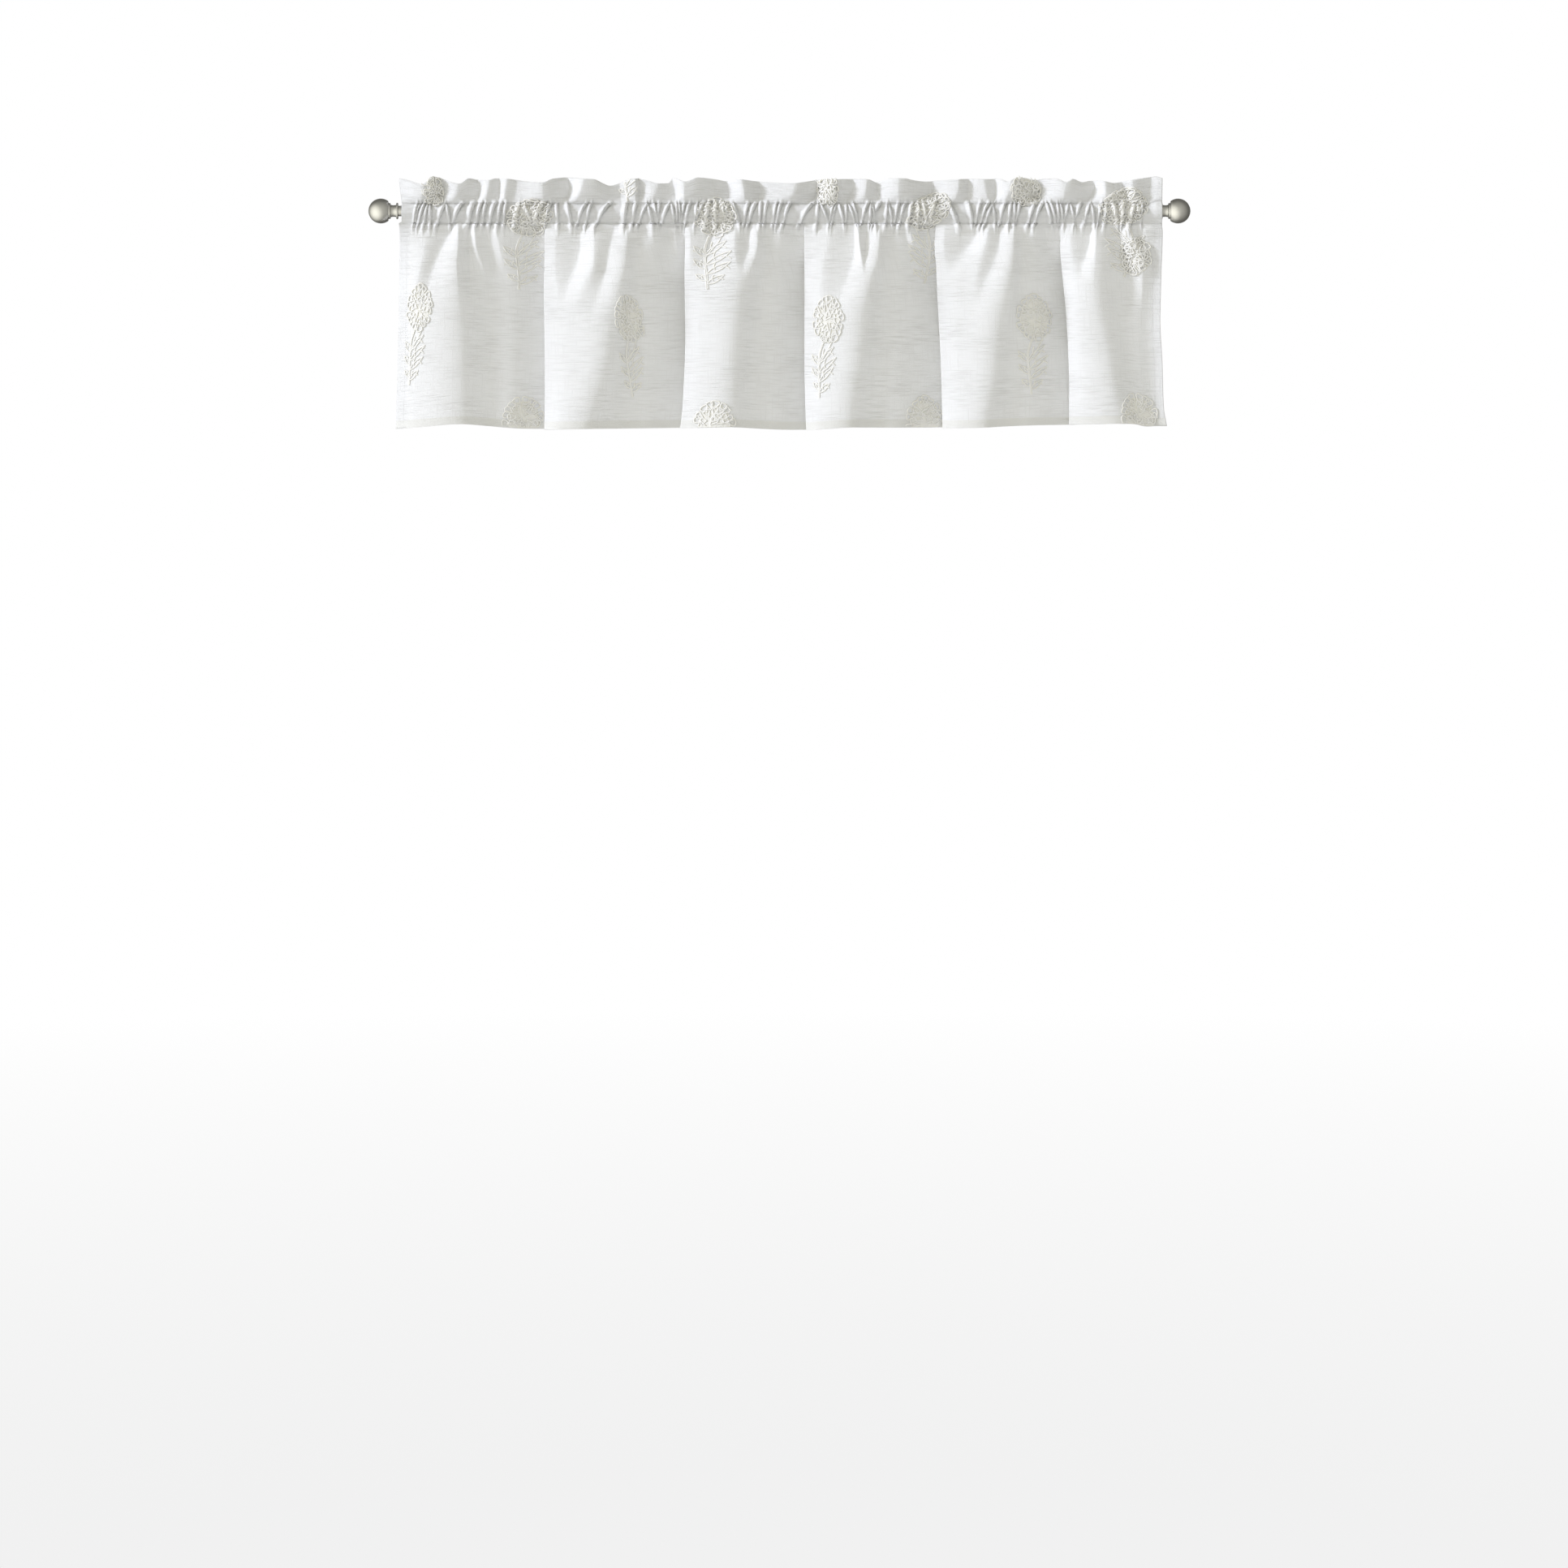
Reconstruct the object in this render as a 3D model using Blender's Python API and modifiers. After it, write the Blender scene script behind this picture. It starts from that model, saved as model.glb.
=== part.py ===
"""Rod-pocket window valance on its curtain rod.

One cut of semi-sheer cloth hangs from a satin nickel rod. Its top edge is turned over to the back and
sewn down twice, so a ruffled heading stands above the rod and a pocket holds the rod. The rod ends in
turned ball finials.

Frame: origin on the rod's axis at mid-length, +X to the right, +Z up, the room on the -Y side.
"""
import math

import bpy

MM = 0.001

# Rod and finials, in millimetres.
ROD_RADIUS = 8.0
ROD_WALL = 1.0
ROD_HALF_LENGTH = 577.2
FIT_GAP = 0.3
SPIGOT_LENGTH = 20.0
FLANGE_RADIUS = 12.2
FLANGE_THICKNESS = 2.5
NECK_RADIUS = 9.35
NECK_WAIST_RADIUS = 8.7
NECK_LENGTH = 8.5
BEAD_RADIUS = 12.0
BEAD_WIDTH = 3.6
BALL_RADIUS = 18.75
BALL_OFFSET = 14.8
STUD_RADIUS = 2.5
STUD_LENGTH = 12.0
TURNED_STEPS = 36
BALL_ARC_POINTS = 14
NECK_CHAMFER = 0.8
FLANGE_CHAMFER = 0.5
BEAD_CHAMFER = 1.0

# Cloth, in millimetres. Heights are above the rod's axis.
CLOTH_THICKNESS = 1.2
LAYER_GAP = 1.0
HEADING_GAP = 1.4
TOP_SEAM_HEIGHT = 11.2
BOTTOM_SEAM_HEIGHT = -18.6
TAIL_HEIGHT = -22.0
TAIL_LEAN = 0.6
COLUMN_PITCH = 12.0
FEWEST_COLUMNS = 3
SPLINE_STEPS = 10

# Side edges of the cloth at its main levels.
EDGES = {
    "crown": dict(left=-576.3, right=579.8),
    "pocket": dict(left=-571.5, right=579.0),
    "skirt": dict(left=-576.0, right=577.5),
    "hem": dict(left=-582.6, right=587.7),
}

# The skirt's folds, left to right. lip_top and lip_hem: the fold's left edge under the seam and at the
# hem. depth: from the front crest back to the valley. crest and shoulder: shares of the fold's width.
# hem_lip, hem_crest and hem_valley: the hem's height there.
SKIRT_FOLDS = [
    dict(lip_top=-576.0, lip_hem=-582.6, depth=46, crest=0.40, shoulder=0.74,
         hem_lip=-329.6, hem_crest=-321.8, hem_valley=-329.6),
    dict(lip_top=-355.6, lip_hem=-356.8, depth=54, crest=0.30, shoulder=0.72,
         hem_lip=-330.8, hem_crest=-329.2, hem_valley=-328.2),
    dict(lip_top=-143.5, lip_hem=-150.9, depth=50, crest=0.36, shoulder=0.72,
         hem_lip=-328.2, hem_crest=-326.5, hem_valley=-331.0),
    dict(lip_top=37.7, lip_hem=40.2, depth=54, crest=0.30, shoulder=0.56,
         hem_lip=-331.7, hem_crest=-327.0, hem_valley=-327.5),
    dict(lip_top=236.8, lip_hem=247.3, depth=50, crest=0.33, shoulder=0.62,
         hem_lip=-328.6, hem_crest=-327.0, hem_valley=-323.5),
    dict(lip_top=425.6, lip_hem=439.0, depth=48, crest=0.34, shoulder=0.70,
         hem_lip=-322.8, hem_crest=-321.3, hem_valley=-325.0),
]

# A fold's shape seen from above: how far forward each place stands, as a share of the fold's depth. The
# valley runs on behind the next fold's lip by LIP_OVERLAP of the fold's width. The cloth's right side edge
# is the last fold's end. FALL_SHARE places the fall between crest and shoulder.
FOLD_FORWARD = dict(lip=0.18, crest=0.50, fall=0.06, shoulder=-0.02, valley=-0.50, side_edge=-0.20)
LIP_OVERLAP = 0.035
FALL_SHARE = 0.6

# The heading's ruffles, left to right. lip: the ruffle's left edge. crest: where it stands furthest
# forward. high_lip, high_crest and high_hollow: height of the top fold there.
RUFFLES = [
    dict(lip=-571.5, crest=-539.3, high_lip=49.3, high_crest=40.7, high_hollow=51.8),
    dict(lip=-503.6, crest=-487.5, high_lip=46.9, high_crest=41.3, high_hollow=49.7),
    dict(lip=-453.0, crest=-440.7, high_lip=46.9, high_crest=46.9, high_hollow=49.3),
    dict(lip=-424.6, crest=-360.5, high_lip=49.3, high_crest=42.7, high_hollow=50.0),
    dict(lip=-316.2, crest=-293.9, high_lip=50.6, high_crest=48.1, high_hollow=43.0),
    dict(lip=-240.9, crest=-223.7, high_lip=42.7, high_crest=49.3, high_hollow=48.7),
    dict(lip=-208.9, crest=-179.3, high_lip=47.5, high_crest=40.7, high_hollow=40.0),
    dict(lip=-157.1, crest=-144.8, high_lip=50.0, high_crest=43.9, high_hollow=50.0),
    dict(lip=-78.2, crest=-58.4, high_lip=44.9, high_crest=48.1, high_hollow=45.1),
    dict(lip=-25.2, crest=18.0, high_lip=44.4, high_crest=41.4, high_hollow=44.8),
    dict(lip=57.5, crest=85.8, high_lip=47.1, high_crest=48.1, high_hollow=48.1),
    dict(lip=108.0, crest=138.8, high_lip=48.1, high_crest=47.5, high_hollow=43.2),
    dict(lip=151.2, crest=180.8, high_lip=46.9, high_crest=49.5, high_hollow=46.0),
    dict(lip=239.9, crest=273.2, high_lip=45.6, high_crest=47.5, high_hollow=48.7),
    dict(lip=290.5, crest=313.9, high_lip=48.7, high_crest=48.1, high_hollow=49.3),
    dict(lip=332.4, crest=348.4, high_lip=49.3, high_crest=43.9, high_hollow=49.9),
    dict(lip=400.2, crest=434.8, high_lip=49.0, high_crest=42.5, high_hollow=46.0),
    dict(lip=480.4, crest=496.4, high_lip=45.9, high_crest=42.5, high_hollow=43.0),
    dict(lip=521.0, crest=538.3, high_lip=44.4, high_crest=47.5, high_hollow=50.6),
    dict(lip=564.2, crest=572.0, high_lip=51.8, high_crest=51.0, high_hollow=50.0),
]
RUFFLE_DEPTH = 15.0
RUFFLE_DEPTH_PER_WIDTH = 0.30
# A ruffle's shape seen from above: how far forward each place stands, as a share of its depth. The hollow
# lies HOLLOW_SHARE of the way from the crest to the next lip.
RUFFLE_FORWARD = dict(lip=-0.1, crest=0.5, hollow=-0.5)
HOLLOW_SHARE = 0.75
RUFFLE_OPENING = 0.7

# The tucks that run down from the bottom seam, left to right. crest: the tuck's ridge at the seam.
# lean: how far the ridge moves to the right on its way down. drop: how far down it fades out.
# rise and fall: width of its left and right sides. height: how far it stands forward.
TUCKS = [
    dict(crest=-551, lean=2, drop=95, rise=12, fall=46, height=6),
    dict(crest=-487, lean=2, drop=100, rise=26, fall=20, height=7),
    dict(crest=-424, lean=4, drop=60, rise=20, fall=16, height=5),
    dict(crest=-335, lean=-1, drop=95, rise=18, fall=30, height=7),
    dict(crest=-276, lean=-16, drop=110, rise=24, fall=26, height=7),
    dict(crest=-227, lean=-2, drop=110, rise=24, fall=14, height=6),
    dict(crest=-165, lean=4, drop=45, rise=12, fall=14, height=4),
    dict(crest=-66, lean=-2, drop=60, rise=34, fall=20, height=6),
    dict(crest=-31, lean=6, drop=55, rise=12, fall=20, height=5),
    dict(crest=76, lean=-4, drop=100, rise=26, fall=32, height=7),
    dict(crest=118, lean=-2, drop=60, rise=12, fall=16, height=6),
    dict(crest=151, lean=-4, drop=100, rise=16, fall=18, height=6),
    dict(crest=256, lean=-6, drop=70, rise=16, fall=44, height=7),
    dict(crest=316, lean=-12, drop=95, rise=16, fall=16, height=6),
    dict(crest=352, lean=-2, drop=110, rise=20, fall=20, height=6),
    dict(crest=446, lean=2, drop=70, rise=16, fall=24, height=6),
    dict(crest=484, lean=0, drop=90, rise=18, fall=26, height=6),
    dict(crest=555, lean=-4, drop=100, rise=24, fall=16, height=5),
]
TUCK_ROOT = 14.0

# Levels of the skirt as shares of the way from the bottom seam to the hem.
SKIRT_LEVELS = [1.0, 0.66, 0.40, 0.26, 0.14, 0.05]
FULL_FOLD_LEVEL = 0.34

# The pocket's section round the rod: angle from straight up, and distance from the rod's axis.
POCKET_SECTION = [
    dict(angle=142, radius=12.2),
    dict(angle=105, radius=11.0),
    dict(angle=70, radius=10.0),
    dict(angle=42, radius=9.1),
]
# The right end of the pocket opens round the finial's flange.
MOUTH_START = 560.0
MOUTH_FULL = 572.0
MOUTH_RADIUS = 14.1
MOUTH_SEAM_HEIGHT = 15.0

# Levels of the heading as shares of the way from the top seam to the top fold.
HEADING_LEVELS = [0.45, 0.93]


def clear_scene():
    for old in list(bpy.data.objects):
        bpy.data.objects.remove(old, do_unlink=True)


def make_material(name, colour, roughness, metallic):
    material = bpy.data.materials.new(name)
    material.use_nodes = True
    shader = material.node_tree.nodes["Principled BSDF"]
    shader.inputs["Base Color"].default_value = (*colour, 1.0)
    shader.inputs["Roughness"].default_value = roughness
    shader.inputs["Metallic"].default_value = metallic
    return material


def add_object(name, mesh, material, collection):
    mesh.materials.append(material)
    piece = bpy.data.objects.new(name, mesh)
    collection.objects.link(piece)
    return piece


def lerp(start, end, share):
    return start + (end - start) * share


def smoothstep(share):
    share = min(max(share, 0.0), 1.0)
    return share * share * (3.0 - 2.0 * share)


def spline_through(points, steps):
    """A Catmull-Rom curve through the points, with so many steps between each two."""
    curve = []
    padded = [points[0], *points, points[-1]]
    for a, b, c, d in zip(padded, padded[1:], padded[2:], padded[3:]):
        for step in range(steps):
            t = step / steps
            curve.append(tuple(
                0.5 * (2 * q + (r - p) * t + (2 * p - 5 * q + 4 * r - s) * t * t
                       + (3 * q - p - 3 * r + s) * t ** 3)
                for p, q, r, s in zip(a, b, c, d)))
    curve.append(points[-1])
    return curve


def point_at_share(curve, share):
    """The point a share of the way along a curve's length."""
    lengths = [math.dist(a[:2], b[:2]) for a, b in zip(curve, curve[1:])]
    left = share * sum(lengths)
    for a, b, length in zip(curve, curve[1:], lengths):
        if left <= length or b is curve[-1]:
            part = min(left / length, 1.0) if length else 0.0
            return tuple(lerp(p, q, part) for p, q in zip(a, b))
        left -= length


# ---- plan shape of the skirt -------------------------------------------------------------------

def lip_positions(level):
    """The folds' left edges at a level of the skirt, and the cloth's right edge."""
    lips = [lerp(fold["lip_top"], fold["lip_hem"], level) for fold in SKIRT_FOLDS]
    return lips + [lerp(EDGES["skirt"]["right"], EDGES["hem"]["right"], level)]


def fold_curve(index, level):
    """One fold seen from above at a level: (x, forward, hem height), from its lip to the next lip."""
    fold = SKIRT_FOLDS[index]
    after = SKIRT_FOLDS[(index + 1) % len(SKIRT_FOLDS)]
    lips = lip_positions(level)
    width = lips[index + 1] - lips[index]
    open_share = smoothstep(level / FULL_FOLD_LEVEL)
    depth = fold["depth"] * open_share
    last = index == len(SKIRT_FOLDS) - 1
    overlap = 0.0 if last else LIP_OVERLAP * open_share ** 3
    shape = [
        (0.0, "lip", "hem_lip"),
        (fold["crest"], "crest", "hem_crest"),
        (lerp(fold["crest"], fold["shoulder"], FALL_SHARE), "fall", "hem_crest"),
        (fold["shoulder"], "shoulder", "hem_valley"),
        (1.0 + overlap, "side_edge" if last else "valley", "hem_valley"),
    ]
    points = [(lips[index] + across * width, FOLD_FORWARD[place] * depth, fold[hem])
              for across, place, hem in shape]
    if not last:
        lip_forward = FOLD_FORWARD["lip"] * after["depth"] * open_share
        points.append((lips[index + 1], lip_forward, after["hem_lip"]))
    return spline_through(points, SPLINE_STEPS)


def tuck_height(x_seam, height):
    """How far the tucks push the cloth forward, at a height under the bottom seam."""
    below = BOTTOM_SEAM_HEIGHT - height
    forward = 0.0
    for tuck in TUCKS:
        share = below / tuck["drop"]
        across = x_seam - tuck["crest"] - tuck["lean"] * min(share, 1.0)
        side = across / tuck["fall"] if across > 0 else -across / tuck["rise"]
        if side < 1.0 and share < 1.0:
            fade = smoothstep(below / TUCK_ROOT) * smoothstep(1.0 - share)
            forward += tuck["height"] * fade * smoothstep(1.0 - side)
    return forward


def skirt_point(x_seam, level):
    """Where the cloth below x_seam on the bottom seam hangs at a level of the skirt."""
    lips = lip_positions(0.0)
    index = max(i for i in range(len(SKIRT_FOLDS)) if i == 0 or x_seam >= lips[i])
    share = (x_seam - lips[index]) / (lips[index + 1] - lips[index])
    x, forward, hem = point_at_share(fold_curve(index, level), min(max(share, 0.0), 1.0))
    height = lerp(BOTTOM_SEAM_HEIGHT, hem, level)
    return x, forward + tuck_height(x_seam, height), height


# ---- plan shape of the heading -----------------------------------------------------------------

def ruffle_at(x_seam):
    """The heading's forward reach and the height of its top fold above x_seam."""
    ends = [ruffle["lip"] for ruffle in RUFFLES] + [EDGES["pocket"]["right"]]
    index = max(i for i in range(len(RUFFLES)) if i == 0 or x_seam >= ends[i])
    ruffle = RUFFLES[index]
    after = RUFFLES[min(index + 1, len(RUFFLES) - 1)]
    reach = min(RUFFLE_DEPTH, RUFFLE_DEPTH_PER_WIDTH * (ends[index + 1] - ends[index]))
    hollow = lerp(ruffle["crest"], ends[index + 1], HOLLOW_SHARE)
    points = [
        (ends[index], RUFFLE_FORWARD["lip"] * reach, ruffle["high_lip"]),
        (ruffle["crest"], RUFFLE_FORWARD["crest"] * reach, ruffle["high_crest"]),
        (hollow, RUFFLE_FORWARD["hollow"] * reach, ruffle["high_hollow"]),
        (ends[index + 1], RUFFLE_FORWARD["lip"] * reach, after["high_lip"]),
    ]
    curve = spline_through(points, SPLINE_STEPS)
    for a, b in zip(curve, curve[1:]):
        if x_seam <= b[0] or b is curve[-1]:
            share = (x_seam - a[0]) / (b[0] - a[0])
            return lerp(a[1], b[1], share), lerp(a[2], b[2], share)


def heading_line(columns, level):
    """The middle of the double heading at a level: (x, forward, height) for each column."""
    line = []
    for x_seam in columns:
        forward, high = ruffle_at(x_seam)
        share = (x_seam - EDGES["pocket"]["left"]) / (EDGES["pocket"]["right"] - EDGES["pocket"]["left"])
        x_crown = lerp(EDGES["crown"]["left"], EDGES["crown"]["right"], share)
        line.append((lerp(x_seam, x_crown, level), forward * level ** RUFFLE_OPENING,
                     lerp(seam_height(x_seam), high, level)))
    return line


def layer_of(line, sign):
    """One layer of the double heading: moved half the layers' gap along the line's normal."""
    layer = []
    for i, (x, forward, height) in enumerate(line):
        before, after = line[max(i - 1, 0)], line[min(i + 1, len(line) - 1)]
        run, rise = after[0] - before[0], after[1] - before[1]
        length = math.hypot(run, rise)
        layer.append((x - sign * HEADING_GAP * rise / length,
                      forward + sign * HEADING_GAP * run / length, height))
    return layer


# ---- the pocket round the rod ------------------------------------------------------------------

def mouth_share(x_seam):
    return smoothstep((x_seam - MOUTH_START) / (MOUTH_FULL - MOUTH_START))


def seam_height(x_seam):
    return lerp(TOP_SEAM_HEIGHT, MOUTH_SEAM_HEIGHT, mouth_share(x_seam))


def pocket_row(columns, station, sign):
    row = []
    for x_seam in columns:
        radius = lerp(station["radius"], MOUTH_RADIUS, mouth_share(x_seam))
        angle = math.radians(station["angle"])
        row.append((x_seam, sign * radius * math.sin(angle), radius * math.cos(angle)))
    return row


# ---- the cloth ---------------------------------------------------------------------------------

def cloth_columns():
    """The cloth's columns, by where each crosses the seams: every ruffle takes a few."""
    ends = [ruffle["lip"] for ruffle in RUFFLES] + [EDGES["pocket"]["right"]]
    columns = []
    for left, right in zip(ends, ends[1:]):
        count = max(FEWEST_COLUMNS, round((right - left) / COLUMN_PITCH))
        columns += [lerp(left, right, k / count) for k in range(count)]
    return columns + [ends[-1]]


def cloth_rows(columns):
    """The cloth's rows from the hem up the front, over the top fold and down the back to the tail."""
    front, back = 1, -1
    rows = [[skirt_point(x, level) for x in columns] for level in SKIRT_LEVELS]
    rows.append([(x, LAYER_GAP, BOTTOM_SEAM_HEIGHT) for x in columns])
    rows += [pocket_row(columns, station, front) for station in POCKET_SECTION]
    rows.append([(x, LAYER_GAP, seam_height(x)) for x in columns])
    rows += [layer_of(heading_line(columns, level), front) for level in HEADING_LEVELS]
    rows.append(heading_line(columns, 1.0))
    rows += [layer_of(heading_line(columns, level), back) for level in reversed(HEADING_LEVELS)]
    rows.append([(x, -LAYER_GAP, seam_height(x)) for x in columns])
    rows += [pocket_row(columns, station, back) for station in reversed(POCKET_SECTION)]
    rows.append([(x, -LAYER_GAP, BOTTOM_SEAM_HEIGHT) for x in columns])
    rows.append([(x, -LAYER_GAP - TAIL_LEAN, TAIL_HEIGHT) for x in columns])
    return rows


def make_valance(material, collection):
    columns = cloth_columns()
    rows = cloth_rows(columns)
    verts = [(x * MM, -forward * MM, height * MM) for row in rows for x, forward, height in row]
    width = len(columns)
    crown = len(SKIRT_LEVELS) + len(POCKET_SECTION) + len(HEADING_LEVELS) + 2
    faces = []
    for r in range(len(rows) - 1):
        for c in range(width - 1):
            low, high = r * width + c, (r + 1) * width + c
            face = (low, low + 1, high + 1, high)
            # Behind the top fold a face starts one corner on, so both layers crease along the same diagonal.
            faces.append(face if r < crown else face[1:] + face[:1])
    mesh = bpy.data.meshes.new("valance_panel")
    mesh.from_pydata(verts, [], faces)
    mesh.shade_smooth()
    valance = add_object("valance_panel", mesh, material, collection)
    thick = valance.modifiers.new("cloth thickness", "SOLIDIFY")
    thick.thickness = CLOTH_THICKNESS * MM
    thick.offset = 0.0
    return valance


# ---- rod and finials ---------------------------------------------------------------------------

def turned_piece(name, profile, closed, material, collection):
    """A turned piece: (radius, height) pairs in millimetres, down the outer side, turned about Z."""
    verts = [(radius * MM, 0.0, height * MM) for radius, height in profile]
    edges = [(i, i + 1) for i in range(len(verts) - 1)]
    if closed:
        edges.append((len(verts) - 1, 0))
    mesh = bpy.data.meshes.new(name)
    mesh.from_pydata(verts, edges, [])
    piece = add_object(name, mesh, material, collection)
    turn = piece.modifiers.new("turned", "SCREW")
    turn.steps = TURNED_STEPS
    turn.render_steps = TURNED_STEPS
    turn.use_merge_vertices = True
    turn.merge_threshold = 0.00001
    turn.use_smooth_shade = True
    return piece


def point_along_rod(piece, side):
    """Turn a piece's +Z outwards along the rod: side is -1 for left and 1 for right."""
    piece.rotation_euler = (0.0, side * math.pi / 2, 0.0)


def make_rod(material, collection):
    inner = ROD_RADIUS - ROD_WALL
    half = ROD_HALF_LENGTH - FIT_GAP
    profile = [(ROD_RADIUS, half), (ROD_RADIUS, -half), (inner, -half), (inner, half)]
    rod = turned_piece("curtain_rod", profile, True, material, collection)
    point_along_rod(rod, 1)


def make_finial_neck(name, side, material, collection):
    spigot = ROD_RADIUS - ROD_WALL - FIT_GAP
    top = FLANGE_THICKNESS + NECK_LENGTH
    hole = STUD_RADIUS + FIT_GAP
    hole_floor = top - STUD_LENGTH - FIT_GAP
    profile = [
        (0.0, hole_floor), (hole, hole_floor), (hole, top),
        (NECK_RADIUS - NECK_CHAMFER, top), (NECK_RADIUS, top - NECK_CHAMFER),
        (NECK_WAIST_RADIUS, FLANGE_THICKNESS + 0.5 * NECK_LENGTH),
        (NECK_RADIUS, FLANGE_THICKNESS),
        (FLANGE_RADIUS - FLANGE_CHAMFER, FLANGE_THICKNESS),
        (FLANGE_RADIUS, FLANGE_THICKNESS - FLANGE_CHAMFER),
        (FLANGE_RADIUS, FLANGE_CHAMFER), (FLANGE_RADIUS - FLANGE_CHAMFER, 0.0),
        (spigot, 0.0), (spigot, -SPIGOT_LENGTH), (0.0, -SPIGOT_LENGTH),
    ]
    neck = turned_piece(name, profile, False, material, collection)
    point_along_rod(neck, side)
    neck.location.x = side * ROD_HALF_LENGTH * MM


def make_finial_ball(name, side, material, collection):
    foot = FIT_GAP
    bead_top = foot + BEAD_WIDTH
    centre = foot + BALL_OFFSET
    low = -math.asin((centre - bead_top) / BALL_RADIUS)
    angles = [lerp(math.pi / 2, low, k / BALL_ARC_POINTS) for k in range(1, BALL_ARC_POINTS + 1)]
    arc = [(BALL_RADIUS * math.cos(a), centre + BALL_RADIUS * math.sin(a)) for a in angles]
    profile = [
        (0.0, centre + BALL_RADIUS), *arc,
        (BEAD_RADIUS - BEAD_CHAMFER, bead_top), (BEAD_RADIUS, bead_top - BEAD_CHAMFER),
        (BEAD_RADIUS, foot + BEAD_CHAMFER), (BEAD_RADIUS - BEAD_CHAMFER, foot), (STUD_RADIUS, foot),
        (STUD_RADIUS, foot - STUD_LENGTH), (0.0, foot - STUD_LENGTH),
    ]
    ball = turned_piece(name, profile, False, material, collection)
    point_along_rod(ball, side)
    ball.location.x = side * (ROD_HALF_LENGTH + FLANGE_THICKNESS + NECK_LENGTH) * MM


def main():
    clear_scene()
    collection = bpy.data.collections.new("window_valance")
    bpy.context.scene.collection.children.link(collection)
    cloth = make_material("white slub cloth", (0.93, 0.93, 0.91), 0.85, 0.0)
    nickel = make_material("satin nickel", (0.66, 0.65, 0.62), 0.35, 1.0)
    make_valance(cloth, collection)
    make_rod(nickel, collection)
    for word, side in (("left", -1), ("right", 1)):
        make_finial_neck(f"finial_neck_{word}", side, nickel, collection)
        make_finial_ball(f"finial_ball_{word}", side, nickel, collection)


main()
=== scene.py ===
# %% [markdown]
# # A rod-pocket valance, built round its CAD frame
#
# The object is one cut of white slub cloth that hangs from a satin nickel rod. The top of the cloth is
# turned over to the back and sewn down twice. That makes a ruffled heading and, under it, the pocket that
# holds the rod. Looped cream thread is stitched over the cloth in flower sprigs.
#
# The imported CAD model gives the size and the place of everything. It is loaded first. All lengths below
# are in millimetres until a mesh is made.

# %% Load the frame
import math

import bpy
import numpy as np
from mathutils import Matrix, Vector, noise


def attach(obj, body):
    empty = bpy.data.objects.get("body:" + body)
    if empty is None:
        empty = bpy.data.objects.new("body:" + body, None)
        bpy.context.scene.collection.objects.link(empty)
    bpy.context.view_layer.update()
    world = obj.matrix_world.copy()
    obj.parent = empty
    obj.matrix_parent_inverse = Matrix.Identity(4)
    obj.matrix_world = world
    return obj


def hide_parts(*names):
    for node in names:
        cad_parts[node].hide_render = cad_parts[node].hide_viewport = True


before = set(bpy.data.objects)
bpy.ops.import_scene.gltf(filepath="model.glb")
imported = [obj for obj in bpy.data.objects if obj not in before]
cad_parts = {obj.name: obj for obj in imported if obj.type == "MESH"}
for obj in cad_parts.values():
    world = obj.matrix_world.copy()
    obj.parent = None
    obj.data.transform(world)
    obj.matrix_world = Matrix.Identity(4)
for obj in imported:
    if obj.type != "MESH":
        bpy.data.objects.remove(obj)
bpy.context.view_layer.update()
MM = 0.001

# %% [markdown]
# ## Where things are
#
# Folds are easiest to place on a front view. So every table below gives a place as a point of that view,
# counted to the right and down, with 1.233 mm of the object to one step. Depth is given in millimetres
# towards the viewer. Three helpers turn such points into millimetres of the object and back, and the others
# draw smooth lines.

# %% Front view to millimetres
STEP = 1.233
VIEW_MIDDLE = 960.4
VIEW_ROD = 260.0


def across(view_x):
    return (np.asarray(view_x, float) - VIEW_MIDDLE) * STEP


def up(view_y):
    return (VIEW_ROD - np.asarray(view_y, float)) * STEP


def view_y_of(height):
    return VIEW_ROD - np.asarray(height, float) / STEP


def smoothstep(share):
    share = np.clip(share, 0.0, 1.0)
    return share * share * (3.0 - 2.0 * share)


def eased(t, a, b, start, end):
    """From a to b while t goes from 0 to 1, leaving a and reaching b with the slopes given."""
    return ((2 * t ** 3 - 3 * t ** 2 + 1) * a + (t ** 3 - 2 * t ** 2 + t) * start
            + (3 * t ** 2 - 2 * t ** 3) * b + (t ** 3 - t ** 2) * end)


def smooth_line(points, at):
    """The first value of (value, place) points at each place, on a smooth curve that never overshoots."""
    values, places = np.array(points, float).T
    at = np.clip(np.asarray(at, float), places[0], places[-1])
    slopes = np.diff(values) / np.diff(places)
    tangents = np.zeros(len(values))
    for k in range(1, len(values) - 1):
        if slopes[k - 1] * slopes[k] > 0:
            tangents[k] = 2 * slopes[k - 1] * slopes[k] / (slopes[k - 1] + slopes[k])
    tangents[0], tangents[-1] = slopes[0], slopes[-1]
    k = np.clip(np.searchsorted(places, at, side="right") - 1, 0, len(slopes) - 1)
    run = places[k + 1] - places[k]
    return eased((at - places[k]) / run, values[k], values[k + 1], run * tangents[k], run * tangents[k + 1])


def line_place(line, view_y):
    """Where a line of (across, down) points of the view passes one height, in millimetres across."""
    return float(across(smooth_line(line, view_y)))


def run_along(points):
    """How far along a line of points each of them lies."""
    return np.concatenate([[0.0], np.cumsum(np.linalg.norm(np.diff(points, axis=0), axis=1))])


print("rod axis at view height", VIEW_ROD, "and", STEP, "mm to a step")
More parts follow.
